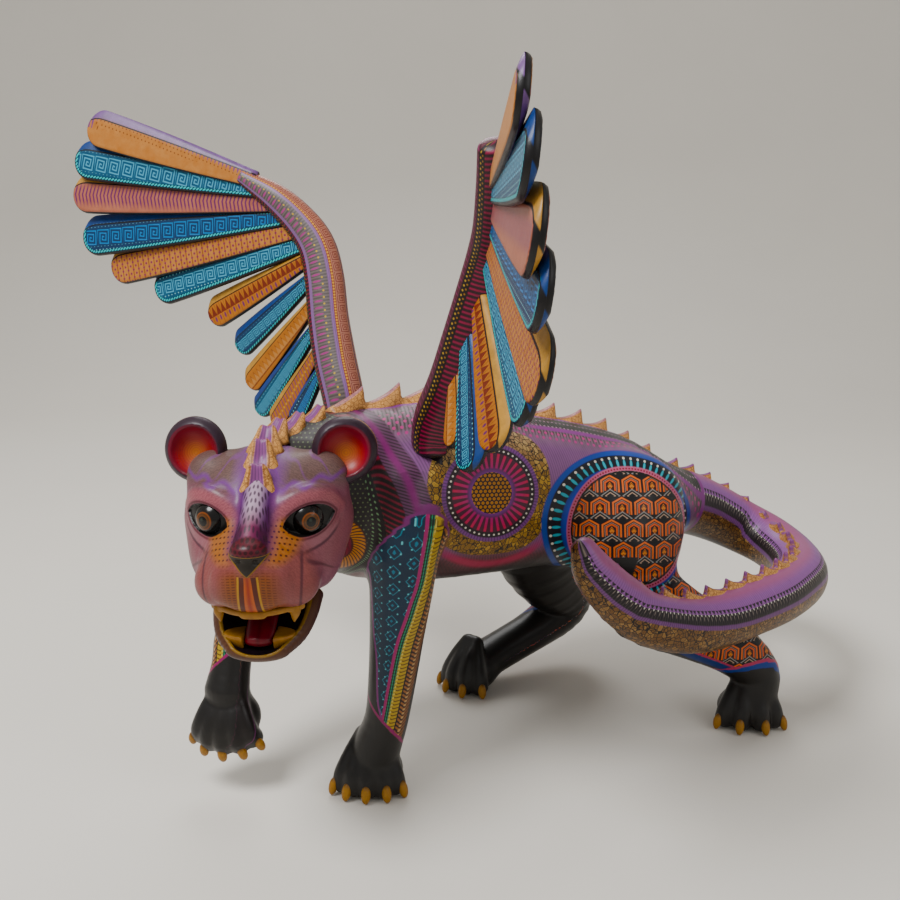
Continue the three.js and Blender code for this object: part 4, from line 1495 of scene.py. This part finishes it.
def eye_paint():
    _, (x, _, z) = layer("local")
    r = length(x, z)
    fibres = noise(at(turn_of(z, x) * 6.0, r * 3.0), 3.0, 3.0)
    iris = mix(ramp(r, 0.26, 0.44), "#6e4a2a", "#4c2a12")
    iris = mix(fibres * 0.7, iris, "#2a160a")
    iris = mix(band(r, 0.41, 0.47, 0.03), iris, "#7a4220")
    # Black pupil with a soft pale spot above and to one side: a painted glint of light on the glass.
    pupil_and_glint = mix(ramp(length(x + 0.05, z - 0.10), 0.12, 0.04) * 0.25, "#030303", "#59685c")
    colour = mix(ramp(r, 0.28, 0.25), iris, pupil_and_glint)
    return mix(ramp(r, 0.48, 0.51), colour, "#080605")


def claw_paint():
    where, _ = layer("rest")
    _, (_, _, z) = layer("local")
    grain = noise(where, 0.5, 3.0)
    colour = mix(grain, "#b0802a", "#8a5a18")
    return mix(ramp(z, 0.45, 0.85) * 0.7, colour, "#4a2c10")


def gold_paint():
    where, _ = layer("rest")
    return mix(noise(where, 0.25, 4.0), "#b98632", "#7f4f18")


def tongue_paint():
    where, (x, _, _) = layer("local")
    colour = mix(noise(where, 0.15, 3.0), "#8c1226", "#5c0a18")
    return mix(band(x, -1.0, 1.0, 1.2) * 0.5, colour, "#4a0812")


# ---- Paint of crests and wings -------------------------------------------------------------------


def crest_paint(purple_share):
    def make():
        where, _ = layer("rest")
        _, (t, k, h) = layer("local")
        _, rings, gap = mosaic(where, 0.30)
        gold = mix(rings * 0.55, "#e2ac74", "#a06838")
        gold = mix(gap * 0.6, gold, "#5c3418")
        stripe = lines(k, 0.17, 0.06, 0.05)
        purple = mix(stripe * 0.6, "#8a5286", "#4c2a54")
        cup = ramp(abs(k), 0.36, 0.30) * band(t, 0.12, 0.92, 0.1) * purple_share
        edge = ramp(h, 0.80, 0.90) * 0.8
        colour = mix(cup, gold, purple)
        colour = mix(edge, colour, "#9a5a80")
        rail = band(abs(k), 0.36, 0.46, 0.05) * purple_share
        colour = mix(rail * 0.6, colour, "#6a3a24")
        return mix(ramp(abs(k), 0.93, 0.99), colour, "#4a2418")

    return make


def arm_layer():
    """Distance along a wing's arm, and degrees round it from the leading edge."""
    _, (s, angle, _) = layer("local")
    return s, abs(op("WRAP", angle * (180 / math.pi), 180.0, -180.0))


def left_arm_paint():
    """Maroon with fine strokes, two rows of gold dots on black, then crimson ticks to the feathers."""
    where, _ = layer("rest")
    s, t = arm_layer()
    broad = noise(where, 0.05, 3.0)
    colour = mix(lines(s + t * 0.05 + broad * 3.0, 2.7, 1.1, 0.8) * 0.55, "#5a2836", "#2c121a")
    colour = mix(lines(s + t * 0.05 + 1.3, 5.4, 0.8, 0.7) * band(t, 20, 105, 8), colour, "#8a3c66")
    dark = mix(broad, "#1c0f0c", "#100a0a")
    dark = mix(bead_row(s, t, 118.0, 3.6, 0.8, 4.0), dark, "#a5843e")
    dark = mix(bead_row(s + 1.8, t, 127.0, 3.6, 0.7, 4.0), dark, "#8a6230")
    tick = lines(s - t * 0.03, 3.6, 1.5, 0.9)
    colour = mix(ramp(t, 108, 111), colour, dark)
    colour = mix(ramp(t, 133, 136), colour, mix(tick, "#2a1018", "#8a2444"))
    # Near-black over the tenon and the arm's rounded foot: painted shade where the arm sits on the back.
    return mix(ramp(s, 6.0, 4.0), colour, "#1c0f16")


def arm_paint():
    """From the leading edge: fret, gold dots, lilac, a grey ground with pink ticks, dark beads."""
    s, t = arm_layer()
    arc = t * 0.27
    fret = mix(meander(s, arc - 4.6, 8.5, 4.6, 0.95), "#b9806c", "#84483e")
    beads = mix(bead_row(s, t, 41.0, 2.4, 0.9, 3.6), "#8a4a3c", "#dba35a")
    lilac = mix(lines(t, 5.2, 1.6, 1.4) * 0.6, "#8f6a9c", "#5f4468")
    grey = mix(lines(s, 2.6, 1.2, 0.9) * 0.7, "#6f6462", "#3f3a38")
    tick = bead_row(s, t, 88.0, 5.4, 0.85, 15.0)
    grey = mix(tick, grey, "#a84c86")
    grey = mix(bead_row(s + 2.7, t, 71.0, 5.4, 0.8, 3.4), grey, "#c9a83c")
    dark = mix(lines(s, 3.2, 1.4, 0.8), "#27131a", "#7c2238")
    dark = mix(band(t, 132, 148, 2.0), dark, "#140d0c")
    dark = mix(bead_row(s, t, 137.0, 3.4, 0.7, 3.6), dark, "#b08a3c")
    dark = mix(bead_row(s + 1.7, t, 143.0, 3.4, 0.6, 3.6), dark, "#8a6a3a")
    colour = mix(t > 36.0, fret, beads)
    colour = mix(t > 46.0, colour, lilac)
    colour = mix(ramp(t, 54, 57), colour, grey)
    colour = mix(ramp(t, 104, 107), colour, lilac)
    colour = mix(ramp(t, 116, 119), colour, dark)
    # Near-black over the tenon and the arm's rounded foot: painted shade where the arm sits on the back.
    return mix(ramp(s, 6.0, 4.0), colour, "#1c0f16")


def orange_feather(kind):
    def make():
        where, _ = layer("rest")
        _, (u, v, e) = layer("local")
        grain = noise(where, 0.12, 4.0, 0.6)
        face = mix(grain, "#dba06c", "#b87442") if kind < 7 else mix(grain, "#d48a48", "#a8642a")
        if kind == 1:
            teeth = teeth_row(u, e, 1.5, 7.0, 3.6) * (v > 0.0)
            face = mix(teeth, face, "#86527c")
            face = mix(dots(u, e, 3.6, 3.0, 0.5, 0.5) * band(e, 7, 13, 1) * (v > 0.0), face, "#6a3418")
        elif kind == 3:
            face = mix(grain, "#cc8a74", "#a86455")
            stroke = lines(u + abs(v) * 0.25, 3.6, 1.5, 0.8)
            face = mix(stroke * ramp(abs(v), 11, 5), face, "#6a2f62")
        elif kind == 5:
            face = mix(lines(u, 5.6, 0.9, 0.6) * 0.7, face, "#6a2c14")
            face = mix(dots(u, v, 5.6, 3.2, 1.0, 0.5), face, "#8a3f5c")
        elif kind == 7:
            face = mix(teeth_row(u, v, -2.0, 7.5, 5.4), face, "#7c3424")
            face = mix(bead_row(u, v, -5.0, 5.4, 0.9, 2.6), face, "#6f3468")
            face = mix(lines(u + 2.7, 5.4, 0.6, 0.5) * 0.5, face, "#7a3a1c")
        elif kind == 9:
            face = mix(teeth_row(u, v, -5.5, 4.5, 5.0), face, "#8a4a26")
            face = mix(teeth_row(u, v, -4.2, 2.6, 5.0), face, "#cf9460")
        else:
            face = mix(lines(u + v * 0.6, 4.0, 1.2, 0.8) * 0.8, face, "#7c4478")
            face = mix(bead_row(u, v, 0.0, 4.0, 1.0), face, "#d9a05a")
        return feather_edges(face, e, "#86639c" if kind == 1 else "#dba862", grain)

    return make


def blue_feather(kind):
    def make():
        where, _ = layer("rest")
        _, (u, v, e) = layer("local")
        grain = noise(where, 0.12, 4.0, 0.6)
        light = kind in (2, 6, 10)
        face = mix(grain, "#175f84" if light else "#14406c", "#0f4262" if light else "#0d2a4c")
        wide = {2: 7.5, 4: 7.5, 6: 6.5, 8: 4.4, 10: 4.0, 12: 3.2}[kind]
        rim_at = 3.2 if kind < 7 else 2.4
        key_tint = "#69b4d2" if kind in (2, 6, 8, 10) else "#4a8ac8"
        key = meander(u, v + 1.0, wide * 1.75, wide, 0.95 if wide > 5 else 0.7)
        face = mix(key * ramp(e, rim_at + 0.8, rim_at + 1.6), face, key_tint)
        spots = dots(u, v, 3.6, 3.2, 0.55, 0.5) * ramp(abs(v), wide + 0.4, wide + 1.0)
        face = mix(spots, face, "#8fd0d8")
        face = mix(ramp(e, rim_at + 1.5, rim_at + 1.0), face, "#0a1a30")
        rim = bead_row(u + v * 0.8, e, rim_at, 2.9, 1.05 if kind < 7 else 0.85)
        face = mix(rim, face, "#52cad2")
        return feather_edges(face, e, "#2c4f94", grain)

    return make


def feather_edges(face, e, side, grain):
    """A black line round the face, which paints the shade in the gaps between feathers, and the bevel in its
    own colour on the upper side.
    """
    # Painted shade: the black rim, 1.1 to 1.7 mm in from the outline, stands for the shadow in the gaps
    # between neighbouring feathers.
    face = mix(ramp(e, 1.7, 1.1), face, EDGE)
    _, (share, _, _) = layer("bevel")
    bevel = mix(grain * 0.7, side, EDGE)
    face = mix(band(share, 0.02, 0.16, 0.06), face, EDGE)
    return mix(ramp(share, 0.12, 0.20), face, bevel)


def wood_paint():
    _, (x, y, z) = layer("position")
    return mix(noise(at(x * 400.0, y * 60.0, z * 400.0), 0.3, 5.0), "#c8a878", "#8f6a3c")


def floor_paint():
    """A pale warm sheet with faint cloudy tone."""
    where = Value(node("TexCoord").outputs["Object"])
    return mix(noise(where, 2.2, 4.0, 0.6) * 0.6, "#e4dfd6", "#d6d0c6")


FLANK = body_group()
MATERIAL = {
    "torso": finished("painted_torso", lambda: flank()[0], depth=0.70, rich=1.16),
    "front_left_leg": finished("painted_front_left_leg", front_leg(0), rough=0.36, depth=0.56, rich=1.16),
    "front_right_leg": finished("painted_front_right_leg", front_leg(85), rough=0.36, depth=0.56, rich=1.16),
    "rear_left_leg": finished("painted_rear_left_leg", rear_leg, rough=0.38, depth=0.70, rich=1.16),
    "rear_right_leg": finished("painted_rear_right_leg", rear_leg, rough=0.36, depth=0.62),
    "tail": finished("painted_tail", tail_paint, rough=0.40, depth=0.64),
    "claw": finished("painted_claws", claw_paint, rough=0.45, depth=0.8),
    "head": finished("painted_head", head_paint, rough=0.42, depth=0.64, rich=1.3),
    "jaw": finished("painted_jaw", jaw_paint, rough=0.38, depth=0.45),
    "ear_left": finished("painted_left_ear", ear_paint(1), depth=0.66),
    "ear_right": finished("painted_right_ear", ear_paint(-1), depth=0.66),
    "eye": finished("glass_eye", eye_paint, rough=0.14, bump=0.0, coat=0.2, depth=0.8),
    "tongue": finished("painted_tongue", tongue_paint, rough=0.35),
    "gold": finished("painted_teeth", gold_paint, rough=0.45),
    "crest": finished("painted_back_crest", crest_paint(0.55), depth=0.84),
    "tail_crest": finished("painted_tail_crest", crest_paint(1.0), depth=0.78),
    "head_crest": finished("painted_head_crest", crest_paint(1.0), depth=0.78),
    "left_arm": finished("painted_left_arm", left_arm_paint, depth=0.68),
    "right_arm": finished("painted_right_arm", arm_paint, depth=0.70),
    "floor": finished("pale_floor", floor_paint, rough=0.62, bump=0.05, coat=0.0, depth=0.9, rich=1.0),
    "wood": finished("bare_dowel", wood_paint, rough=0.7, coat=0.0),
}
for number in range(1, 13):
    make = blue_feather(number) if number % 2 == 0 else orange_feather(number)
    name = f"feather_{number:02d}"
    MATERIAL[name] = finished("painted_" + name, make, rough=0.40, depth=0.74, rich=1.15)


# ---- Assembly ------------------------------------------------------------------------------------


def build_body():
    whole, parts = carve_body()
    points, faces = whole.mesh()
    normals = vertex_normals(points, faces)
    names = list(parts)
    reach = np.stack([parts[n].sample(points) for n in names], 1)
    centre = reach[faces].mean(1)
    owner = centre.argmin(1)
    slots = dict(torso="torso_paint", tail="tail_paint", rear_right_leg="black_paint")
    lines = {n + "_leg": (leg["line"], X) for n, leg in LEGS.items()}
    lines["tail"] = (TAIL, Z)
    lines["torso"] = (TORSO, Z)
    made = {}
    for i, name in enumerate(names):
        used, own = part_of(points, faces, owner == i)
        p = points[used]
        rows, up = lines[name]
        local = along_limb(rows, up, p)
        if "right" in name:  # the same painting, mirrored
            local[:, 1] = np.arctan2(np.sin(local[:, 1]), -np.cos(local[:, 1]))
        made[name] = piece(
            "painted_" + name,
            p,
            own,
            MATERIAL[name],
            slot=slots.get(name, "leg_paint"),
            normals=normals[used],
            local=local,
        )
        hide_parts(name)
    return made


def build_claws():
    for name, leg in LEGS.items():
        claws = []
        for degrees, line, turn in toe_places(leg):
            own = turn @ turned(rz=degrees) @ turned(rx=-14)
            claws.append(globe(line[-1] + own @ np.array([0, -7.6, -3.4]), (3.7, 3.4, 7.2), own, 16, 12))
        points, faces, local = several(claws)
        piece(name + "_claws", points, faces, MATERIAL["claw"], slot="leg_paint", local=local)


def build_head():
    def carved(name, block, material, slot, *nodes, marks=None):
        points, faces = block.mesh()
        more = {"eye": marks(points)} if marks else {}
        made = piece(
            name,
            from_head(points),
            faces,
            MATERIAL[material],
            slot=slot,
            normals=turn_normals(vertex_normals(points, faces)),
            local=points,
            **more,
        )
        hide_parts(*nodes)

    def turn_normals(n):
        return from_head(n) - HEAD_AT

    def almonds(points):
        side = np.where(points[:, 0] > 0, 1, -1)
        best = np.zeros((len(points), 3))
        for s in (1, -1):
            a, b, n = eye_plane(s, points.T)
            row = np.stack([almond(a, b), n - EYE_FLOOR, b], 1)
            best[side == s] = row[side == s]
        return best

    carved("painted_head", carve_head(), "head", "head_paint", "head", marks=almonds)
    jaw, outer, trough = carve_jaw()
    rims = lambda p: np.stack([outer.sample(p), trough.sample(p), 0 * p[:, 0]], 1)
    carved("painted_jaw", jaw, "jaw", "jaw_paint", "lower_jaw", marks=rims)
    for side, word in ((1, "left"), (-1, "right")):
        carved("painted_ear_" + word, carve_ear(side), "ear_" + word, "ear_paint", "ear_" + word)
        out, across = eye_axes(side)
        turn = np.stack([across * side, -out, Z], 1)
        p, f, local = globe((side * EYE[0], EYE[1], EYE[2]), (EYE_RADIUS,) * 3, turn, 48, 40)
        eye = piece("glass_eye_" + word, from_head(p), f, MATERIAL["eye"], slot="eye_glass", local=local)
        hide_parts("eye_" + word)
    # Mouth.
    rows = [(0, -20, -54, 9.5, 4), (0, -38, -63.5, 9.8, 4.6), (0, -54, -71, 9.3, 4)]
    p, f, local = swept(rows, Z, sides=28, per=8)
    tongue = piece("carved_tongue", from_head(p), f, MATERIAL["tongue"], slot="tongue_paint", local=p)
    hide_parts("tongue")
    gum = []
    for x in range(-28, 29, 2):
        drop = 1.5 * (abs(x) < 8) + 1.2 * (abs(x) > 20)
        gum.append((x, -69.5 + (x / 28) ** 2 * 18, -46.2 - drop * 0.5, 2.4, 2.1 + drop * 0.5))
    teeth = [swept(gum, Z, sides=16, per=2, power=3.0)]
    for s in (-1, 1):
        fang = [(24, -55, -47, 4.2), (24.4, -55.5, -50, 3.6)]
        fang += [(24, -55.5, -53.5, 2.2), (23.6, -55, -56.5, 0.7)]
        teeth.append(swept([(s * x, *rest) for x, *rest in fang], X, sides=14, per=4))
    p, f, local = several(teeth)
    upper = piece("gold_upper_teeth", from_head(p), f, MATERIAL["gold"], slot="tooth_paint", local=p)
    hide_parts("upper_teeth")
    for s, word in ((1, "left"), (-1, "right")):
        carved("gold_lower_teeth_" + word, carve_lower_teeth(s), "gold", "tooth_paint", "lower_teeth_" + word)


def build_crests():
    line, up = top_line(TORSO, lambda i: (0, 0, 1), 0.11, 1.0)
    p, f, local = ridge(line, up, 11, 21, 9.0)
    crest = piece("carved_back_crest", p, f, MATERIAL["crest"], slot="crest_paint", local=local)
    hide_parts("back_crest")
    tilt = lambda i: (0, 0, 1) if i < 5 else (-0.2, -0.25, 1) if i < 8 else (-0.14, 0, 1)
    line, up = top_line(TAIL, tilt, 0.03, 0.97)
    p, f, local = ridge(line, up, 21, 15.5, 8.5, fade=0.8)
    crest = piece("carved_tail_crest", p, f, MATERIAL["tail_crest"], slot="crest_paint", local=local)
    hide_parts("tail_crest")
    brow = [(0, -44, 18), (0, -38, 25), (0, -24, 37), (0, -8, 46)]
    path = smooth_line([*brow, (2, 14, 49), (12, 34, 50), (30, 56, 54)], 16)
    lean = np.interp(path[:, 1], [-38, -10, 30], [-0.8, -0.25, 0])
    up = unit(np.stack([0 * lean, lean, 1 + 0 * lean], 1))
    p, f, local = ridge(path, up, 6, 19, 14.5, per=22, power=3.0, cup=0.38, fade=0.8)
    paint = MATERIAL["head_crest"]
    crest = piece("carved_head_crest", from_head(p), f, paint, slot="crest_paint", local=local)
    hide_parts("head_crest")


def outward(faces, side):
    """Faces drawn for the left wing, turned over on its mirror image."""
    return faces if side > 0 else [f[::-1] for f in faces]


def build_wings():
    for side, word in ((1, "left"), (-1, "right")):
        body = word + "_wing"
        rows = LEFT_WING_ARM if side > 0 else WING_ARM
        tenon = block_mesh(15.5, -20, 21, 8, 17.4, 8)
        p, f, local = several([swept(rows, Z, sides=40, per=8, round_=0.5), tenon])
        made = from_wing(p, side), outward(f, side), MATERIAL[word + "_arm"]
        arm = piece(body + "_arm_painted", *made, body, "wing_arm_paint", local=local)
        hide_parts(word + "_wing_arm")
        for i, row in enumerate(FEATHERS[word]):
            p, f, local, bevel = feather(*row)
            name = f"{word}_feather_{i + 1:02d}"
            slot = "blue_feather" if i % 2 else "orange_feather"
            made = from_wing(p, side), outward(f, side), MATERIAL[f"feather_{i + 1:02d}"]
            slat = piece(name + "_painted", *made, body, slot, local=local, bevel=bevel)
            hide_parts(name)


def block_mesh(u, v, w, a, b, c):
    """A square tenon with eased edges, as a four-sided sweep."""
    line = np.array([[u, v - b, w], [u, v - b + 1.0, w], [u, v + b, w]], float)
    one = np.ones(3)
    side, rise = np.outer(one, [1.0, 0, 0]), np.outer(one, [0, 0, 1.0])
    size = np.array([a - 1.0, a, a])
    p, f, _, around = sweep(line, side, rise, size, size * c / a, 32, 12.0)
    return p, [q[::-1] for q in f], np.stack([-20 + 0 * around, around, 16 + 0 * around], 1)

build_body()
build_claws()
build_head()
build_crests()
build_wings()


def dowel_looks():
    for name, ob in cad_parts.items():
        if name.endswith("_dowel"):
            ob.data.materials.clear()
            ob.data.materials.append(MATERIAL["wood"])


dowel_looks()

SHEET_FLAT, SHEET_BEND = 1.3, 1.6  # where the sheet starts to rise behind the figure, and its radius
AZIMUTH, ELEVATION = math.radians(52.8), math.radians(12.8)


# ---- Stage, light and camera ---------------------------------------------------------------------
def floor_piece():
    """A pale sheet that lies flat under the figure and sweeps up far behind it."""
    bend = np.linspace(0, math.pi / 2, 25)
    reach = np.concatenate([[-3.0], SHEET_FLAT + SHEET_BEND * np.sin(bend), [SHEET_FLAT + SHEET_BEND]])
    rise = np.concatenate([[0.0], SHEET_BEND * (1 - np.cos(bend)), [6.0]])
    back = np.array([-math.sin(AZIMUTH), math.cos(AZIMUTH), 0])
    across = np.array([math.cos(AZIMUTH), math.sin(AZIMUTH), 0])
    points = [r * back + side * across + (0, 0, h) for r, h in zip(reach, rise) for side in (-7.0, 7.0)]
    mesh = bpy.data.meshes.new("floor")
    faces = [(2 * i, 2 * i + 1, 2 * i + 3, 2 * i + 2) for i in range(len(reach) - 1)]
    mesh.from_pydata(points, [], faces)
    mesh.shade_smooth()
    floor = bpy.data.objects.new("floor", mesh)
    bpy.context.scene.collection.objects.link(floor)
    mesh.materials.append(MATERIAL["floor"])


floor_piece()


def lamp(name, kind, at, aim, energy, size, colour=(1, 1, 1)):
    data = bpy.data.lights.new(name, kind)
    data.energy, data.color = energy, colour
    if kind == "AREA":
        data.shape, data.size = "DISK", size
    ob = bpy.data.objects.new(name, data)
    bpy.context.scene.collection.objects.link(ob)
    ob.location = at
    ob.rotation_euler = (Vector(aim) - Vector(at)).to_track_quat("-Z", "Y").to_euler()
    return ob


lamp("key", "AREA", (0.15, -1.15, 1.75), (0, 0, 0.2), 44, 0.8)
lamp("fill", "AREA", (1.7, 0.5, 1.4), (0, 0, 0.2), 7, 1.2)
lamp("back", "AREA", (-1.2, 0.6, 1.6), (0, 0, 0.25), 14, 1.0)
world = bpy.data.worlds.new("studio")
world.use_nodes = True
world.node_tree.nodes["Background"].inputs[0].default_value = (0.84, 0.83, 0.80, 1)
world.node_tree.nodes["Background"].inputs[1].default_value = 0.72
bpy.context.scene.world = world

camera = bpy.data.objects.new("camera", bpy.data.cameras.new("camera"))
bpy.context.scene.collection.objects.link(camera)
bpy.context.scene.camera = camera
away = np.array(
    [math.sin(AZIMUTH) * math.cos(ELEVATION), -math.cos(AZIMUTH) * math.cos(ELEVATION), math.sin(ELEVATION)]
)
camera.location = np.array([-0.079, -0.0068, 0.23]) + away
camera.rotation_euler = (math.pi / 2 - ELEVATION, 0, AZIMUTH)
camera.data.lens = 45.3
